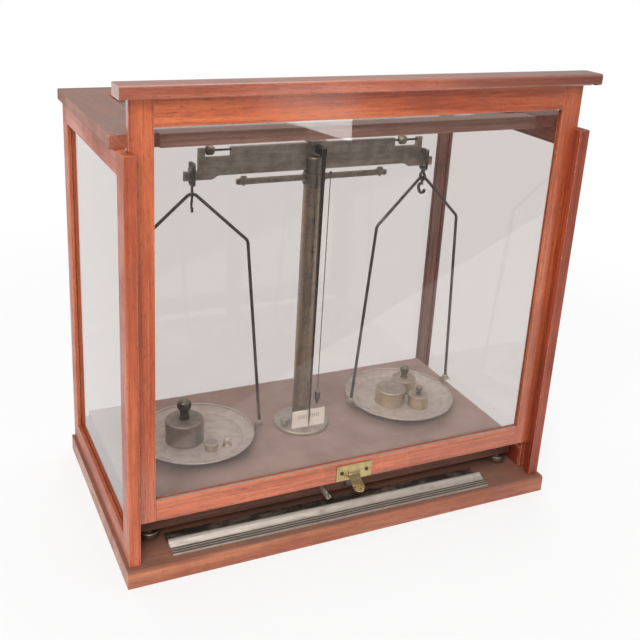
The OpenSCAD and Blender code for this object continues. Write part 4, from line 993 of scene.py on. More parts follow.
def bow_rule() -> Rule:
    """Returns the rule of a bow: a wire through five points, its corners bent to a radius.

    Returns:
        The rule.
    """
    rule = Rule("bow_wire")
    bend, foot, peak, shoulder, low = (rule.size(n)
        for n in ("bend half", "foot half", "peak", "shoulder", "foot drop"))
    radius, gauge = rule.size("bend radius"), rule.size("wire radius")
    back = [rule.times(v, -1.0) for v in (bend, foot, shoulder, low)]
    places = [rule.point(back[1], 0.0, back[3]), rule.point(back[0], 0.0, back[2]), rule.point(0.0, 0.0, peak),
              rule.point(bend, 0.0, back[2]), rule.point(foot, 0.0, back[3])]
    switch = rule.add("GeometryNodeIndexSwitch", data_type="VECTOR")
    while len(switch.index_switch_items) < len(places):
        switch.index_switch_items.new()
    rule.tree.links.new(rule.geo("InputIndex"), switch.inputs["Index"])
    for number, place in enumerate(places):
        rule.tree.links.new(place, switch.inputs[str(number)])
    line = rule.geo("MeshLine", {"Count": len(places), "Offset": (0.01, 0, 0)})
    set_out = rule.geo("SetPosition", {"Geometry": line, "Position": switch.outputs[0]})
    path = rule.geo("MeshToCurve", {0: set_out})
    fillet = rule.geo("FilletCurve", {"Curve": path, "Radius": radius, "Count": 14, "Limit Radius": True}, mode="POLY")
    ring = rule.geo("CurvePrimitiveCircle", {"Resolution": 28, "Radius": gauge})
    tube = rule.geo("CurveToMesh", {"Curve": fillet, "Profile Curve": ring, "Fill Caps": True})
    rule.close(tube)
    return rule


def head_rule(layout: Layout) -> Rule:
    """Returns the rule of slotted screw heads, set out round a ring or along a row.

    Args:
        layout: RING or ROW.

    Returns:
        The rule.
    """
    rule = Rule("slotted_heads_" + layout.name.lower())
    count, spread = rule.size("count", True), rule.size("spread")
    radius, height, slot = rule.size("head radius"), rule.size("head height"), rule.size("slot width")
    if layout is Layout.RING:
        points = rule.geo("MeshCircle", {"Vertices": count, "Radius": spread})
    else:
        start = rule.times(rule.times(spread, rule.maths("SUBTRACT", count, 1.0)), -0.5)
        points = rule.geo("MeshLine", {"Count": count, "Start Location": rule.point(start),
            "Offset": rule.point(spread)})
    head = rule.geo("MeshCone", {"Vertices": 40, "Radius Bottom": radius, "Radius Top": rule.times(radius, 0.8),
        "Depth": height})
    block = rule.geo("MeshCube", {"Size": rule.point(rule.times(radius, 3.0), slot, rule.times(height, 1.2))})
    raised = rule.geo("Transform", {"Geometry": block, "Translation": rule.point(0.0, 0.0, height)})
    cut = rule.geo("MeshBoolean", {"Mesh 1": head, "Mesh 2": raised}, operation="DIFFERENCE", solver="EXACT")
    turn = rule.add("FunctionNodeRandomValue", {"Seed": 7}, data_type="FLOAT_VECTOR")
    turn.inputs["Min"].default_value = (0, 0, 0)
    turn.inputs["Max"].default_value = (0, 0, math.pi)
    spots = rule.geo("InstanceOnPoints", {"Points": points, "Instance": cut, "Rotation": turn.outputs[0]})
    rule.close(spots)
    return rule


def knurl_rule() -> Rule:
    """Returns the rule of knurls: upright ridges round a disc's edge.

    Returns:
        The rule.
    """
    rule = Rule("knurls")
    count, radius = rule.size("count", True), rule.size("disc radius")
    ridge, height = rule.size("ridge"), rule.size("ridge height")
    ring = rule.geo("MeshCircle", {"Vertices": count, "Radius": radius})
    bar = rule.geo("MeshCylinder", {"Vertices": 6, "Radius": rule.times(ridge, 0.5), "Depth": height})
    spots = rule.geo("InstanceOnPoints", {"Points": ring, "Instance": bar})
    rule.close(spots)
    return rule


def mark_rule() -> Rule:
    """Returns the rule of the scale's lines: a row of upright marks, the middle one longer.

    Returns:
        The rule.
    """
    rule = Rule("scale_marks")
    count, pitch = rule.size("count", True), rule.size("pitch")
    width, tall, middle = rule.size("line width"), rule.size("line height"), rule.size("middle height")
    half = rule.times(rule.maths("SUBTRACT", count, 1.0), 0.5)
    row = rule.geo("MeshLine", {"Count": count,
        "Start Location": rule.point(rule.times(rule.times(half, pitch), -1.0)), "Offset": rule.point(pitch)})
    index = rule.geo("InputIndex")
    is_middle = rule.maths("COMPARE", rule.maths("SUBTRACT", index, half), 0.0)
    extra = rule.times(is_middle, rule.maths("SUBTRACT", middle, tall))
    length = rule.maths("ADD", tall, extra)
    low = rule.times(length, -0.5)
    hung = rule.geo("SetPosition", {"Geometry": row, "Offset": rule.point(0.0, 0.0, low)})
    line = rule.geo("MeshCube", {"Size": rule.point(width, 0.0003, 1.0)})
    spots = rule.geo("InstanceOnPoints", {"Points": hung, "Instance": line, "Scale": rule.point(1.0, 1.0, length)})
    rule.close(spots)
    return rule


def thread_rule() -> Rule:
    """Returns the rule of a screw thread seen from outside: crests side by side along a rod.

    Returns:
        The rule.
    """
    rule = Rule("thread_crests")
    count, pitch, radius = rule.size("count", True), rule.size("pitch"), rule.size("rod radius")
    row = rule.geo("MeshLine", {"Count": count, "Offset": rule.point(pitch)})
    ring = rule.geo("CurvePrimitiveCircle", {"Resolution": 20, "Radius": radius})
    crest = rule.geo("CurvePrimitiveCircle", {"Resolution": 4, "Radius": rule.times(pitch, 0.36)})
    loop = rule.geo("CurveToMesh", {"Curve": ring, "Profile Curve": crest})
    upright = rule.geo("Transform", {"Geometry": loop, "Rotation": (0.0, math.pi / 2, 0.0)})
    spots = rule.geo("InstanceOnPoints", {"Points": row, "Instance": upright})
    rule.close(spots)
    return rule


@dataclass
class Case:
    """The glazed wooden case round the balance."""

    arris: float = 0.8
    runs: dict[str, Run] = field(default_factory=lambda: {
        "base_board": Run.X, "front_post_left": Run.Z, "front_post_right": Run.Z, "rear_post_left": Run.Z,
        "rear_post_right": Run.Z, "bottom_rail_left": Run.Y, "bottom_rail_right": Run.Y, "bottom_rail_rear": Run.X,
        "top_rail_left": Run.Y, "top_rail_right": Run.Y, "top_rail_rear": Run.X, "top_rail_front": Run.X,
    })
    boards: dict[str, Run] = field(default_factory=lambda: {"top_board_left": Run.Y, "top_board_right": Run.Y,
        "top_board_rear": Run.X})
    usual: tuple[Colour, Colour] = (shade(220, 120, 78), shade(176, 80, 48))
    tones: dict[str, tuple[Any, ...]] = field(default_factory=lambda: {
        "rear_post_right": (shade(158, 104, 86), shade(112, 66, 52)),
        "top_rail_front": (shade(196, 152, 134), shade(158, 112, 94), 0.9, 0.5),
        # The right-hand front post and rails take darker copies of the usual colours: painted shade where less lamp
        # light reaches the right side
        **dict.fromkeys(("front_post_right", "top_rail_right", "bottom_rail_right"),
        (shade(186, 88, 56), shade(132, 48, 26))),
    })
    panes: tuple[str, ...] = ("rear_glass", "top_glass")

    def wood(self, node: str, run: Run, number: int) -> Mahogany:
        """Returns the finish of one wooden piece.

        Args:
            node: The piece's CAD node.
            run: Which way its grain runs.
            number: Its place in the list, which moves its figure.

        Returns:
            The finish.
        """
        if node == "base_board":
            # The 0.3 share paints shade on the base board, darker towards +X
            return Mahogany("mahogany_base", run, 1.3, shade(206, 130, 92), shade(164, 88, 58), 0.95,
                grime=shade(124, 92, 78), fade=0.3)
        return Mahogany("mahogany_" + node, run, 3.7 * number + 1.3, *self.tones.get(node, self.usual))

    def build(self, shop: Shop) -> None:
        """Rounds and dresses the wood and glazes the case.

        Args:
            shop: The shop that makes and hands over meshes.
        """
        for number, (node, run) in enumerate(self.runs.items()):
            shop.rounded(node, self.arris, self.wood(node, run, number))
        for number, (node, run) in enumerate(self.boards.items()):
            dusty = Mahogany("dusty_" + node, run, 91.1 + 5.3 * number, shade(180, 112, 88), shade(140, 78, 58), 0.95,
                0.5, shade(132, 111, 103))
            shop.rounded(node, self.arris, dusty)
        for node in self.panes:
            shop.dress(node, Pane("pane"))
        shop.dress("side_glass", Pane("side_pane", left_tint=(0.70, 0.655, 0.64)))


@dataclass
class Sash:
    """The sliding front sash, with its cap, its pane and its brass lift."""

    arris: float = 0.7
    lift_x: float = 3.3
    lift_z: float = 75.0
    screw_gap: float = 32.0
    screw_r: float = 2.4
    screw_h: float = 1.0
    slot: float = 0.6
    plate_front: float = -129.9
    runs: dict[str, Run] = field(default_factory=lambda: {"sash_stile_left": Run.Z, "sash_stile_right": Run.Z,
        "sash_rail_top": Run.X, "sash_rail_bottom": Run.X})
    brass: OldMetal = OldMetal("lift_brass", shade(206, 184, 134), shade(160, 134, 94), Run.X, 9.0, 0.22, 0.5, 0.6,
        worn=shade(232, 214, 166))
    iron: OldMetal = OldMetal("lift_screw_iron", shade(104, 90, 76), shade(70, 58, 50), Run.X, 12.0)

    def build(self, shop: Shop) -> None:
        """Makes the sash's pieces.

        Args:
            shop: The shop that makes and hands over meshes.
        """
        for number, (node, run) in enumerate(self.runs.items()):
            # fade paints shade on the sash wood, darker towards +X, stronger on the rails than on the stiles
            wood = Mahogany(
                "sash_" + node, run, 41.3 + 4.1 * number, shade(220, 118, 72), shade(170, 70, 38),
                dust=0.9 if node == "sash_rail_bottom" else 0.0, gloss=0.24, fade=0.34 if run is Run.X else 0.2,
                coat=0.9)
            shop.rounded(node, self.arris, wood)
        # The cap's 0.85 is the share of painted shade that darkens it towards +X
        shop.rounded("sash_cap", 1.0, Mahogany("cap_wood", Run.X, 63.0, shade(206, 120, 92), shade(158, 78, 54), 0.5,
            0.26, shade(182, 138, 124), 0.85, 0.9))
        shop.dress("sash_glass", Pane("pane"))
        shop.rounded("sash_lift", 0.25, self.brass, 1.5)
        self.screws(shop)

    def screws(self, shop: Shop) -> None:
        """Makes the lift's two slotted screws.

        Args:
            shop: The shop that makes and hands over meshes.
        """
        mesh = head_rule(Layout.ROW).cast(
            self.iron, count=2, spread=self.screw_gap * MM, head_radius=self.screw_r * MM,
            head_height=self.screw_h * MM, slot_width=self.slot * MM)
        mesh.transform(moved(self.lift_x, self.plate_front, self.lift_z) @ Matrix.Rotation(QUARTER, 4, "X"))
        shop.show("lift_screw_heads", mesh, self.iron, "lift_screws")


@dataclass
class Stand:
    """The raised platform, its feet and levelling screws, and the metal strip before it."""

    level_x: float = 232.0
    level_y: float = -97.0
    disc_low: float = 24.2
    disc_h: float = 7.0
    disc_r: float = 10.0
    ridges: int = 44
    foot_y: float = 118.0
    foot_top: float = 34.0
    base_top: float = 20.7
    front: float = -103.0
    screw_x: float = 11.0
    screw_z: float = 40.7
    screw_r: float = 4.5
    screw_h: float = 2.0
    screw_slot: float = 1.0
    small_r: float = 2.6
    small_h: float = 1.0
    small_slot: float = 0.8
    sunk: float = 0.42
    base_spots: tuple[tuple[float, float], ...] = ((45.0, -99.0), (214.0, -82.0))
    steel: OldMetal = OldMetal("dull_steel", shade(150, 143, 132), shade(98, 90, 80), Run.X, 4.0, 0.4, 0.4, 0.8)

    def build(self, shop: Shop) -> None:
        """Makes the platform and what stands under and before it.

        Args:
            shop: The shop that makes and hands over meshes.
        """
        shop.rounded("platform", 0.8, Mahogany("platform_wood", Run.X, 55.0, shade(122, 82, 64), shade(84, 52, 40),
            0.92, 0.5, shade(178, 154, 143)))
        shop.rounded("ribbed_strip", 0.3, StripMetal("strip_metal"), 2.0)
        self.feet(shop)
        self.screws(shop)

    def feet(self, shop: Shop) -> None:
        """Turns the fixed foot and the two levelling screws, with their knurls.

        Args:
            shop: The shop that makes and hands over meshes.
        """
        top, low = self.disc_low + self.disc_h, self.disc_low
        foot = [(0, self.base_top), (4, self.base_top), (6.5, self.base_top + 2), (7, self.foot_top - 2),
            (7, self.foot_top), (0, self.foot_top)]
        shop.show("rear_foot", shop.turned(foot, (0, self.foot_y)), self.steel, "platform_rear_foot")
        for side, x in (("left", -self.level_x), ("right", self.level_x)):
            body = "levelling_screw_" + side
            edge = self.disc_r - 0.25
            profile = [(0, self.base_top), (2.5, self.base_top), (4.2, low), (edge - 1, low), (edge, low + 0.9),
                (edge, top - 0.9),
                       (edge - 1, top), (edge - 2.6, top), (edge - 3, top - 0.5), (4.2, top - 0.5), (3.8, top),
                       (3, top), (3, top + 20.8), (0, top + 20.8)]
            shop.show("levelling_disc_" + side, shop.turned(profile, (x, self.level_y)), self.steel, body)
            ridges = knurl_rule().cast(self.steel, count=self.ridges, disc_radius=edge * MM, ridge=0.7 * MM,
                ridge_height=(self.disc_h - 2.0) * MM)
            ridges.transform(moved(x, self.level_y, (low + top) / 2))
            shop.show("levelling_knurls_" + side, ridges, self.steel, body=shop.home[body], slot=shop.slots[body])

    def screws(self, shop: Shop) -> None:
        """Sets the screws in the base board and the platform's front.

        Args:
            shop: The shop that makes and hands over meshes.
        """
        single = head_rule(Layout.ROW)
        for number, (x, y) in enumerate(self.base_spots):
            mesh = single.cast(self.steel, count=1, spread=0.0, head_radius=self.small_r * MM,
                head_height=self.small_h * MM, slot_width=self.small_slot * MM)
            mesh.transform(moved(x, y, self.base_top - self.sunk))
            shop.show(f"base_screw_{number}", mesh, self.steel, "fixing_screws")
        mesh = single.cast(self.steel, count=1, spread=0.0, head_radius=self.screw_r * MM,
            head_height=self.screw_h * MM, slot_width=self.screw_slot * MM)
        mesh.transform(moved(self.screw_x, self.front - 1.0, self.screw_z) @ Matrix.Rotation(QUARTER, 4, "X"))
        shop.show("platform_screw", mesh, self.steel, "fixing_screws")


@dataclass
class Column:
    """The column with its flange, head, arms, stop screws, arrest and scale."""

    y: float = 14.1
    platform_top: float = 62.0
    flange_top: float = 66.6
    flange_r: float = 35.2
    tube_r: float = 11.9
    tube_top: float = 379.0
    bore: float = 4.05
    screw_ring: float = 27.0
    screw_r: float = 3.4
    screw_h: float = 1.0
    screw_slot: float = 0.8
    mark_count: int = 11
    mark_pitch: float = 2.75
    mark_w: float = 0.65
    mark_h: float = 5.6
    mark_long: float = 11.0
    stop_x: float = 88.5
    stop_low: float = 385.5
    stop_flange: float = 393.3
    stop_top: float = 396.6
    clamp: tuple[float, float] = (-24.0, 11.5)
    scale: tuple[float, float, float] = (2.0, -5.0, 23.0)
    metal: OldMetal = OldMetal("column_metal", shade(168, 156, 142), shade(122, 114, 104), Run.Z, 8.0, 0.26, 0.5, 0.7,
        worn=shade(196, 176, 146))
    dull: OldMetal = OldMetal("flange_metal", shade(206, 198, 188), shade(166, 156, 146), Run.X, 18.0, 0.5, 0.3, 0.7)

    def build(self, shop: Shop) -> None:
        """Makes everything fixed to the column.

        Args:
            shop: The shop that makes and hands over meshes.
        """
        axis = (0.0, self.y)
        flange = [(self.bore, self.platform_top), (self.flange_r, self.platform_top),
            (self.flange_r, self.flange_top - 1),
                  (self.flange_r - 1, self.flange_top), (self.tube_r + 1.4, self.flange_top),
                  (self.tube_r, self.flange_top + 0.01), (self.bore, self.flange_top + 0.01)]
        shop.show("column_foot", shop.turned(flange, axis, 128, closed=True), self.dull, "column_flange")
        tube = [(self.tube_r - 3, self.flange_top), (self.tube_r, self.flange_top), (self.tube_r, self.tube_top),
            (self.tube_r - 3, self.tube_top)]
        shop.show("column_shaft", shop.turned(tube, axis, 128, closed=True), self.metal, "column_tube")
        for node in ("column_head", "cross_arms", "lift_rod"):
            shop.rounded(node, 0.5, self.metal, 2.0)
        shop.rounded("spindle", 0.3, self.dull, 2.0)
        self.knob(shop)
        self.screws(shop)
        self.stops(shop)
        self.dial(shop)

    def screws(self, shop: Shop) -> None:
        """Sets three slotted screws round the flange.

        Args:
            shop: The shop that makes and hands over meshes.
        """
        mesh = head_rule(Layout.RING).cast(self.dull, count=3, spread=self.screw_ring * MM,
            head_radius=self.screw_r * MM, head_height=self.screw_h * MM, slot_width=self.screw_slot * MM)
        mesh.transform(moved(0, self.y, self.flange_top - 0.3) @ Matrix.Rotation(math.radians(30), 4, "Z"))
        shop.show("flange_screws", mesh, self.dull, "fixing_screws")

    def knob(self, shop: Shop) -> None:
        """Turns the clamp screw at the flange's left.

        Args:
            shop: The shop that makes and hands over meshes.
        """
        x, y = self.clamp
        low = self.flange_top
        profile = [(0, low - 4), (1.9, low - 4), (1.9, low + 0.3), (4.4, low + 0.3), (4.4, low + 1.4),
            (2.6, low + 2.0), (2.6, low + 3.6),
                   (5.2, low + 4.4), (5.6, low + 5.0), (5.6, low + 6.6), (5.0, low + 7.2), (0, low + 7.5)]
        shop.show("clamp_knob", shop.turned(profile, (x, y), 72), self.dull, "clamp_screw")

    def stops(self, shop: Shop) -> None:
        """Turns the two stop screws.

        Args:
            shop: The shop that makes and hands over meshes.
        """
        low, flange, top = self.stop_low, self.stop_flange, self.stop_top
        profile = [(0, low), (1.5, low), (1.5, flange), (5.5, flange), (5.5, flange + 0.5), (1.6, flange + 2.2),
            (1.5, top - 1.0), (3.8, top - 0.7), (3.8, top), (0, top)]
        for side, x in (("left", -self.stop_x), ("right", self.stop_x)):
            shop.show("stop_" + side, shop.turned(profile, (x, self.y), 64), self.dull, "stop_screw_" + side)

    def dial(self, shop: Shop) -> None:
        """Makes the ivory scale and its lines.

        Args:
            shop: The shop that makes and hands over meshes.
        """
        x, y, h = self.scale
        ivory = Plain("ivory", shade(252, 246, 236), shade(242, 234, 222), 120.0, 0.38)
        shop.rounded("scale_plate", 0.3, ivory, 1.5)
        ink = Plain("engraved_line", shade(104, 92, 80), shade(80, 70, 62), 900.0, 0.8)
        marks = mark_rule().cast(ink, count=self.mark_count, pitch=self.mark_pitch * MM, line_width=self.mark_w * MM,
            line_height=self.mark_h * MM, middle_height=self.mark_long * MM)
        marks.transform(moved(x, y + 0.12, self.flange_top + h - 5.3))
        shop.show("scale_lines", marks, ink, body=shop.home["scale_plate"], slot="ivory")


@dataclass
class Beam:
    """The beam with its knives, threaded rods, adjusting nuts and pointer."""

    y: float = 14.1
    rod_z: float = 429.0
    notch_in: float = 105.4
    notch_out: float = 135.8
    nut_r: float = 5.4
    nut_l: float = 11.0
    nut_bevel: float = 2.4
    bore: float = 1.25
    pitch: float = 0.7
    nut_x: dict[str, float] = field(default_factory=lambda: {"left": -129.9, "right": 116.3})
    bronze: OldMetal = OldMetal("beam_bronze", shade(184, 174, 162), shade(138, 130, 120), Run.X, 2.0, 0.42, 0.9, 0.75,
        worn=shade(206, 198, 186))
    dark: OldMetal = OldMetal("nut_metal", shade(84, 74, 70), shade(54, 47, 45), Run.Y, 22.0, 0.34, 0.3, 0.8)

    def build(self, shop: Shop) -> None:
        """Makes the beam's pieces.

        Args:
            shop: The shop that makes and hands over meshes.
        """
        shop.rounded("beam", 0.35, self.bronze, 1.5)
        shop.rounded("beam_knives", 0.12,
            OldMetal("knife_steel", shade(168, 166, 162), shade(120, 118, 116), Run.Y, 5.0, 0.28), 1.0)
        shop.rounded("pointer", 0.25, self.dark, 1.5)
        shop.rounded("nut_rods", 0.2, self.dark, 1.0)
        self.threads(shop)
        self.nuts(shop)

    def threads(self, shop: Shop) -> None:
        """Cuts the rods' threads where they cross the notches.

        Args:
            shop: The shop that makes and hands over meshes.
        """
        count = int((self.notch_out - self.notch_in) / self.pitch)
        for side, start in (("left", -self.notch_out + self.pitch / 2), ("right", self.notch_in + self.pitch / 2)):
            mesh = thread_rule().cast(self.dark, count=count, pitch=self.pitch * MM, rod_radius=1.0 * MM)
            mesh.transform(moved(start, self.y, self.rod_z))
            shop.show("rod_thread_" + side, mesh, self.dark, body=shop.home["nut_rods"], slot=shop.slots["nut_rods"])

    def nuts(self, shop: Shop) -> None:
        """Turns the two adjusting nuts, which lie along X.

        Args:
            shop: The shop that makes and hands over meshes.
        """
        half, flat = self.nut_l / 2, self.nut_l / 2 - self.nut_bevel
        low = self.nut_r - self.nut_bevel
        profile = [(self.bore, -half), (low, -half), (self.nut_r, -flat), (self.nut_r, -0.5), (self.nut_r - 0.3, -0.2),
            (self.nut_r - 0.3, 0.2),
                   (self.nut_r, 0.5), (self.nut_r, flat), (low, half), (self.bore, half)]
        for side, x in self.nut_x.items():
            mesh = shop.turned(profile, (0, 0), 72, closed=True)
            mesh.transform(moved(x, self.y, self.rod_z) @ Matrix.Rotation(QUARTER, 4, "Y"))
            shop.show("nut_" + side, mesh, self.dark, "adjusting_nut_" + side)


@dataclass
class Hanger:
    """One stirrup with its swivel hook, its bow, its pan and the weights on the pan."""

    side: str
    x: float
    turn: float
    swing: float
    lean: float
    y: float = 14.1
    wire_z: float = 380.0
    wire_r: float = 1.9
    bend_r: float = 8.0
    bend_half: float = 63.4
    crown: float = 57.4
    foot_half: float = 79.4
    legs: float = 238.8
    pan_r: float = 72.4
    pan_low: float = 68.1
    pan_h: float = 10.0
    pan_t: float = 1.2
    roll_r: float = 1.2
    floor_r: float = 58.0
    strap_w: float = 9.0
    strap_t: float = 1.5
    iron: OldMetal = OldMetal("stirrup_metal", shade(112, 112, 106), shade(70, 70, 68), Run.Z, 31.0, 0.36, 0.4, 0.75)
    wire: OldMetal = OldMetal("bow_wire", shade(124, 116, 110), shade(80, 74, 70), Run.Z, 6.0, 0.3, 0.3, 0.8)
    pale: OldMetal = OldMetal("ear_metal", shade(202, 188, 178), shade(160, 146, 136), Run.X, 27.0, 0.34, 0.3, 0.6)

    def place(self) -> Matrix:
        """Returns the matrix that hangs a mesh, drawn upright about the wire's crown, as the bow hangs.

        Returns:
            The matrix.
        """
        tilt = Matrix.Rotation(math.radians(self.turn), 4, "Z") @ Matrix.Rotation(math.radians(self.swing), 4,
            "X") @ Matrix.Rotation(math.radians(self.lean), 4, "Y")
        return moved(self.x, self.y, self.wire_z) @ tilt @ moved(0, 0, -self.wire_z)

    def hung(self, mesh: bpy.types.Mesh) -> bpy.types.Mesh:
        """Hangs a mesh and returns it.

        Args:
            mesh: The mesh.

        Returns:
            The same mesh, moved.
        """
        mesh.transform(self.place())
        mesh.update()
        return mesh

    def build(self, shop: Shop) -> None:
        """Makes everything that hangs at this end of the beam.

        Args:
            shop: The shop that makes and hands over meshes.
        """
        shop.rounded("stirrup_" + self.side, 0.4, self.iron, 1.5)
        shop.rounded("hook_" + self.side, 0.35, self.iron, 1.5)
        self.bow(shop)
        self.feet(shop)
        self.pan(shop)
        self.weights(shop)

    def bow(self, shop: Shop) -> None:
        """Bends the bow's wire.

        Args:
            shop: The shop that makes and hands over meshes.
        """
        peak = 0.0
        for _ in range(2):
            peak = self.bend_r * (1 / math.cos(math.atan2(self.crown + peak, self.bend_half)) - 1)
        mesh = bow_rule().cast(
            self.wire, bend_half=self.bend_half * MM, foot_half=self.foot_half * MM, peak=peak * MM,
            shoulder=self.crown * MM,
            foot_drop=(self.crown + self.legs) * MM, bend_radius=self.bend_r * MM, wire_radius=self.wire_r * MM)
        mesh.shade_smooth()
        mesh.set_sharp_from_angle(angle=WIRE_TURN)
        mesh.transform(Matrix.Translation((0, 0, self.wire_z * MM)))
        shop.show("wire_" + self.side, self.hung(mesh), self.wire, "bow_" + self.side)

    def feet(self, shop: Shop) -> None:
        """Makes the strap under the pan and the ringed collars on its ears.

        Args:
            shop: The shop that makes and hands over meshes.
        """
        foot = self.wire_z - self.crown - self.legs
        low = self.pan_low - self.strap_t
        ear_in, ear_out = self.pan_r + 3.2, self.foot_half + 5
        turn_up = (self.pan_r + 1.2, self.pan_low + self.pan_h - 2.5)
        half = [(self.floor_r + 0.6, low), (turn_up[0] + 1.4, turn_up[1] - 1.4), (ear_in + 1.5, foot - 2.5),
            (ear_out, foot - 2.5), (ear_out, foot),
                (ear_in, foot), turn_up, (self.floor_r, self.pan_low)]
        outline = [*half, *((-x, z) for x, z in reversed(half))]
        mesh = shop.slab(outline, -self.strap_w / 2, self.strap_w / 2, 0.5)
        shop.show("strap_" + self.side, self.hung(mesh), self.pale, "bow_" + self.side)
        rings = [(self.wire_r, foot - 0.5), (4.6, foot - 0.5), (4.6, foot + 1.3), (3.0, foot + 1.5), (3.0, foot + 2.0),
            (3.7, foot + 2.2),
                 (3.7, foot + 2.9), (2.6, foot + 3.2), (2.3, foot + 4.4), (self.wire_r, foot + 4.6)]
        for end, x in (("in", self.foot_half), ("out", -self.foot_half)):
            collar = self.hung(shop.turned(rings, (x, 0), 48, closed=True))
            shop.show(f"collar_{self.side}_{end}", collar, self.pale, "bow_" + self.side)

    def centre(self, dx: float = 0.0, dy: float = 0.0) -> tuple[float, float]:
        """Returns where a point of the pan's floor lies as it hangs, in metres."""
        point = self.place() @ (Vector((dx, dy, self.pan_low)) * MM)
        return point.x, point.y

    def pan(self, shop: Shop) -> None:
        """Spins the pan, with its rolled rim.

        Args:
            shop: The shop that makes and hands over meshes.
        """
        low, top = self.pan_low, self.pan_low + self.pan_h
        rim = (self.pan_r - self.roll_r, top - self.roll_r)
        roll = [(rim[0] + self.roll_r * math.cos(a), rim[1] + self.roll_r * math.sin(a))
            for a in (math.radians(d) for d in range(-70, 251, 32))]
        profile = [(0, low), (self.floor_r - 1, low), (self.floor_r, low + 0.25), (self.floor_r + 1.2, low + 0.9),
            *roll,
                   (self.floor_r + 0.2, low + self.pan_t + 1.1), (self.floor_r - 1.6, low + self.pan_t + 0.1),
                   (self.floor_r - 3, low + self.pan_t), (0, low + self.pan_t)]
        finish = Turned("pan_metal_" + self.side, shade(232, 224, 216), shade(204, 194, 184), self.centre(), 7.0, 0.46,
            0.4)
        mesh = shop.turned(profile, (0, 0), 160, ease=0.0)
        shop.show("dish_" + self.side, self.hung(mesh), finish, "pan_" + self.side)

    def cylinder(self, r: float, h: float) -> list[tuple[float, float]]:
        """Returns the profile of a plain weight: bevelled foot, sides and bevelled shoulder."""
        base = self.pan_low + self.pan_t
        return [(0, base), (r - r / 28, base), (r, base + r / 28), (r, base + h - r / 22), (r - r / 22, base + h)]

    def knob(self, r: float, h: float, ball: float, rise: float, neck: float) -> list[tuple[float, float]]:
        """Returns the profile from a weight's shoulder over its waisted neck and its ball.

        Args:
            r: The weight's radius, in mm.
            h: The weight's height, in mm.
            ball: The knob's radius, in mm.
            rise: The knob's middle above the weight's top, in mm.
            neck: The neck's radius at its foot, in mm.

        Returns:
            Points (radius, height) in mm.
        """
        base = self.pan_low + self.pan_t + h
        middle = base + rise
        waist = [(neck + 1.0, base), (neck, base + 0.5), (neck * 0.86, base + (rise - ball) * 0.4),
            (neck * 0.78, base + (rise - ball) * 0.85)]
        sphere = [(ball * math.cos(a), middle + ball * math.sin(a))
            for a in (math.radians(d) for d in range(-52, 90, 11))]
        return [*waist, *sphere, (0, middle + ball)]

    def weights(self, shop: Shop) -> None:
        """Turns the weights on this pan.

        Args:
            shop: The shop that makes and hands over meshes.
        """
        node = "weights_" + self.side
        for number, weight in enumerate(WEIGHTS[self.side]):
            dx, dy = weight.share[0] * self.pan_r, weight.share[1] * self.pan_r
            profile = weight.profile(self)
            finish = Turned(f"weight_{self.side}_{number}", weight.light, weight.deep, self.centre(dx, dy), 13.0
                + 5 * number, weight.roughness, 0.8)
            shop.show(f"weight_{self.side}_{number}", self.hung(shop.turned(profile, (dx, dy), 96)), finish, node)
            if weight.ball > 0:
                top = self.knob(weight.r, weight.h, weight.ball, weight.rise, weight.neck)
                knob_finish = Turned(f"knob_{self.side}_{number}", weight.knob_light, weight.knob_deep,
                    self.centre(dx, dy), 3.0 + number, 0.16, 0.2)
                shop.show(f"knob_{self.side}_{number}",
                    self.hung(shop.turned([(0, top[0][1]), *top], (dx, dy), 64, ease=0.0)), knob_finish, node)


@dataclass(frozen=True)
class Weight:
    """One weight: where it stands, as a share of the pan's radius, its sizes in mm and its colours."""

    share: tuple[float, float]
    r: float
    h: float
    ball: float = 0.0
    rise: float = 0.0
    neck: float = 0.0
    light: Colour = shade(190, 176, 152)
    deep: Colour = shade(150, 134, 112)
    knob_light: Colour = shade(150, 126, 90)
    knob_deep: Colour = shade(90, 72, 52)
    roughness: float = 0.3
    shape: str = "plain"

    def profile(self, hanger: Hanger) -> list[tuple[float, float]]:
        """Returns the section of the weight's body.

        Args:
            hanger: The hanger whose pan it stands on.

        Returns:
            Points (radius, height) in mm from the foot to the top's middle.
        """
        base = hanger.pan_low + hanger.pan_t
        if self.shape == "lidded":
            steps = [(0, 0), (0.84, 0), (0.93, 0.72), (1, 0.78), (1, 1.07), (0.89, 1.13), (0, 1.13)]
            return [(self.r * a, base + self.r * b) for a, b in steps]
        if self.shape == "cup":
            steps = [(0, 0), (1, 0), (0.73, 0.5), (0.93, 1.03), (0.8, 1.03), (0.57, 0.67), (0, 0.67)]
            return [(self.r * a, base + self.r * b) for a, b in steps]
        return [*hanger.cylinder(self.r, self.h), (0, base + self.h)]


WEIGHTS: dict[str, tuple[Weight, ...]] = {
    "left": (
        Weight((-0.184, -0.032), 23.5, 29.0, 8.8, 18.6, 6.6, shade(150, 142, 134), shade(112, 105, 98),
        shade(104, 96, 90), shade(70, 64, 60), 0.4),
        Weight((0.228, -0.405), 9.0, 10.2, light=shade(190, 178, 162), deep=shade(156, 144, 130), shape="lidded"),
        Weight((0.504, -0.307), 6.0, 6.2, light=shade(190, 178, 162), deep=shade(156, 144, 130), shape="cup"),
    ),
    "right": (
        Weight((-0.228, -0.030), 20.0, 21.0),
        Weight((0.276, 0.233), 16.4, 19.0, 6.3, 12.0, 5.0),
        Weight((0.156, -0.374), 13.2, 17.2, 4.3, 8.2, 3.4),
    ),
}


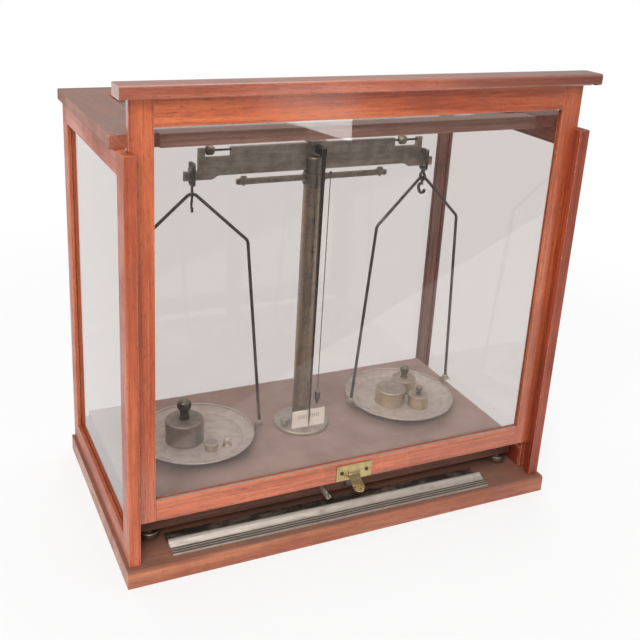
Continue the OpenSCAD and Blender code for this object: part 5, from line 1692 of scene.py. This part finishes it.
@dataclass
class Plumb:
    """The plumb line with its knot and its bob."""

    x: float = 22.0
    y: float = 14.1
    knot_z: float = 393.0
    bob_z: float = 108.6
    bob_l: float = 24.5
    bob_r: float = 3.7
    gauge: float = 1.0
    points: int = 20
    thread: tuple[Colour, Colour, float, float] = (shade(96, 88, 80), shade(64, 58, 52), 1400.0, 0.8)
    metal: OldMetal = OldMetal("bob_metal", shade(150, 142, 126), shade(100, 92, 82), Run.Z, 29.0, 0.36, 0.3, 0.8)

    def build(self, shop: Shop) -> None:
        """Args:
            shop: The shop that makes and hands over meshes.
        """
        low, high = (corner[2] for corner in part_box("plumb_line"))
        line = self.line(shop, low, high)
        bob = self.bob(shop)

    def line(self, shop: Shop, low: float, high: float) -> bpy.types.Object:
        """Runs the line straight down from its knot.

        Args:
            shop: The shop.
            low: The height of its lower end, in metres.
            high: The height of its upper end, in metres.

        Returns:
            The cord.
        """
        thread = Plain("twisted_thread", *self.thread)
        curve = bpy.data.curves.new("plumb_cord", "CURVE")
        curve.dimensions = "3D"
        spline = curve.splines.new("POLY")
        spline.points.add(self.points - 1)
        for index, point in enumerate(spline.points):
            point.co = (self.x * MM, self.y * MM, high + (low - high) * index / (self.points - 1), 1.0)
        curve.bevel_depth = self.gauge / 2 * MM
        curve.use_fill_caps = True
        line = put("plumb_cord", curve)
        curve.materials.append(thread.material())
        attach(line, shop.home["plumb_line"])
        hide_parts("plumb_line")
        log.info("plumb_cord: %d points", self.points)
        return line

    def bob(self, shop: Shop) -> list[bpy.types.Object]:
        """Turns the bob and the knot, and returns both.

        Args:
            shop: The shop that makes and hands over meshes.

        Returns:
            The bob and the knot.
        """
        z, r, l = self.bob_z, self.bob_r, self.bob_l
        profile = [(0, z - l), (0.35, z - l + 0.4), (r * 0.55, z - l * 0.75), (r, z - l * 0.55), (r, z - 5),
            (1.4, z - 3.4), (2, z - 2.4), (1.2, z - 1.6), (1, z), (0, z)]
        knot = [(0, self.knot_z + 0.3), (1.5, self.knot_z + 0.3), (1.7, self.knot_z + 1.2), (1.2, self.knot_z + 2.2),
            (0, self.knot_z + 2.6)]
        body = shop.show("bob_turned", shop.turned(profile, (self.x, self.y), 48), self.metal, "plumb_bob")
        tied = shop.show("line_knot", shop.turned(knot, (self.x, self.y), 24), Plain("knot_thread", *self.thread),
            "plumb_bob", slot="thread")
        return [body, tied]


@dataclass
class Studio:
    """The camera at the photograph's viewing angle, the floor, the lamps and the white surround."""

    eye: Sequence[float] = (-0.4578, -0.9273, 0.6632)
    right: Sequence[float] = (0.91689456, -0.39686635, 0.04244366)
    down: Sequence[float] = (-0.09589631, -0.32227291, -0.94177708)
    ahead: Sequence[float] = (0.38743808, 0.85944009, -0.3335483)
    lens: float = 51.44
    shift: Sequence[float] = (0.0561, -0.1045)
    ambient: float = 0.5
    room: float = 0.32
    sheet: float = 1.0
    dim: float = 0.3
    sheet_slope: float = 0.62
    sheet_end: float = -0.448
    glare: float = 6.0
    reach: float = 6.0
    lamps: Sequence[tuple[Any, ...]] = (
        ("key", (-1.25, -1.7, 1.9), (0, 0, 0.25), 1.3, 42),
        ("fill", (2.4, -1.4, 1.5), (0, 0, 0.25), 1.6, 8),
        ("top", (0.2, 0.9, 2.6), (0, 0, 0.3), 1.8, 26),
    )
    card_y: float = -1.5
    card_corners: Sequence[tuple[float, float]] = ((0.372, 0.287), (0.703, 0.291), (0.713, 0.122), (0.507, 0.188))

    def camera(self) -> None:
        """Creates the camera."""
        data = bpy.data.cameras.new("camera")
        data.lens = self.lens
        data.sensor_width = 36.0
        data.sensor_fit = "HORIZONTAL"
        data.shift_x, data.shift_y = self.shift
        data.clip_start = 0.01
        data.dof.use_dof = False
        camera = put("camera", data)
        columns = (Vector(self.right), -Vector(self.down), -Vector(self.ahead), Vector(self.eye))
        camera.matrix_world = Matrix([[c[row] for c in columns] for row in range(3)] + [[0, 0, 0, 1]])
        bpy.context.scene.camera = camera

    def floor(self) -> None:
        """Lays a pale floor that keeps the object's shadow and fades to white.

        In reflections it is a white sheet that ends at a slanting edge, with a dim room past it.
        """
        bench = Bench("studio_floor")
        split = bench.parts(bench.coords)
        x, y = split["X"], split["Y"]
        away = bench.maths("SQRT", bench.plus(bench.times(x, x), bench.times(y, y)))
        fade = bench.ramp(away, 0.55, 1.25, 0.72, 1.0)
        base = bench.surface(Base_Color=(0.86, 0.86, 0.86), Roughness=0.9, Specular_IOR_Level=0.1)
        slant = bench.plus(y, bench.times(x, self.sheet_slope))
        sheet = bench.ramp(slant, self.sheet_end - 0.004, self.sheet_end + 0.004, self.dim, self.sheet)
        glossy = bench.ray("Glossy")
        strength = bench.plus(bench.times(glossy, bench.maths("SUBTRACT", sheet, 1.0)), 1.0)
        direct = bench.maths("MAXIMUM", bench.ray("Camera"), bench.ray("Transmission"))
        seen = bench.maths("MAXIMUM", bench.times(direct, fade), glossy)
        reach = self.reach
        floor = self.sheet_of("floor", [(-reach, -reach, 0), (reach, -reach, 0), (reach, reach, 0), (-reach, reach, 0)])
        floor.data.materials.append(bench.done(bench.either(seen, base, bench.glow(strength))))

    @staticmethod
    def sheet_of(name: str, corners: Sequence[Sequence[float]]) -> bpy.types.Object:
        """Makes a flat object of four corners.

        Args:
            name: Its name.
            corners: The corners in order, in metres.

        Returns:
            The object.
        """
        mesh = bpy.data.meshes.new(name)
        mesh.from_pydata(corners, [], [(0, 1, 2, 3)])
        return put(name, mesh)

    def surround(self) -> None:
        """Makes the world white to the eye, softer as a light and dim in reflections."""
        world = bpy.data.worlds.new("surround")
        bpy.context.scene.world = world
        bench = Bench("surround", world)
        direct = bench.maths("MAXIMUM", bench.ray("Camera"), bench.ray("Transmission"))
        strength = bench.ramp(direct, 0.0, 1.0, self.ambient, 1.0)
        shiny = bench.ramp(bench.ray("Glossy"), 0.0, 1.0, 1.0, self.room / self.ambient)
        back = bench.add("ShaderNodeBackground")
        back.inputs["Color"].default_value = WHITE
        bench.join(bench.times(strength, shiny), back, "Strength")
        out = bench.add("ShaderNodeOutputWorld")
        bench.join(back.outputs[0], out, "Surface")

    def card(self) -> None:
        """Stands a small bright card in front, whose reflection crosses the sash's top rail and pane."""
        bench = Bench("studio_card")
        hidden = bench.add("ShaderNodeBsdfTransparent")
        shader = bench.either(bench.ray("Glossy"), hidden, bench.glow(self.glare))
        card = self.sheet_of("card", [(x, self.card_y, z) for x, z in self.card_corners])
        card.data.materials.append(bench.done(shader))

    def lamp(self, name: str, place: Sequence[float], aim: Sequence[float], size: float, power: float) -> None:
        """Hangs one soft square lamp.

        Args:
            name: The lamp's name.
            place: Where it hangs, in metres.
            aim: What it points at.
            size: The side of its square, in metres.
            power: Its power, in watts.
        """
        data = bpy.data.lights.new(name, "AREA")
        data.size = size
        data.energy = power
        lamp = put(name, data)
        lamp.location = place
        lamp.rotation_euler = (Vector(aim) - Vector(place)).to_track_quat("-Z", "Y").to_euler()

    def build(self) -> None:
        """Builds the whole studio."""
        self.camera()
        self.floor()
        self.surround()
        for lamp in self.lamps:
            self.lamp(*lamp)
        self.card()
        bpy.context.scene.view_settings.view_transform = "Standard"


def main() -> None:
    """Builds the studio and every sub-assembly."""
    logging.basicConfig(level=logging.INFO, format="%(name)s: %(message)s")
    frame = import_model()
    shop = Shop(frame)
    Studio().build()
    for assembly in (
        Plumb(), Case(), Sash(), Stand(), Column(), Beam(),
        Hanger("left", -150.0, -13.0, -0.2, -1.3), Hanger("right", 150.0, 6.7, 0.8, 0.3),
    ):
        assembly.build(shop)


if __name__ == "__main__":
    main()
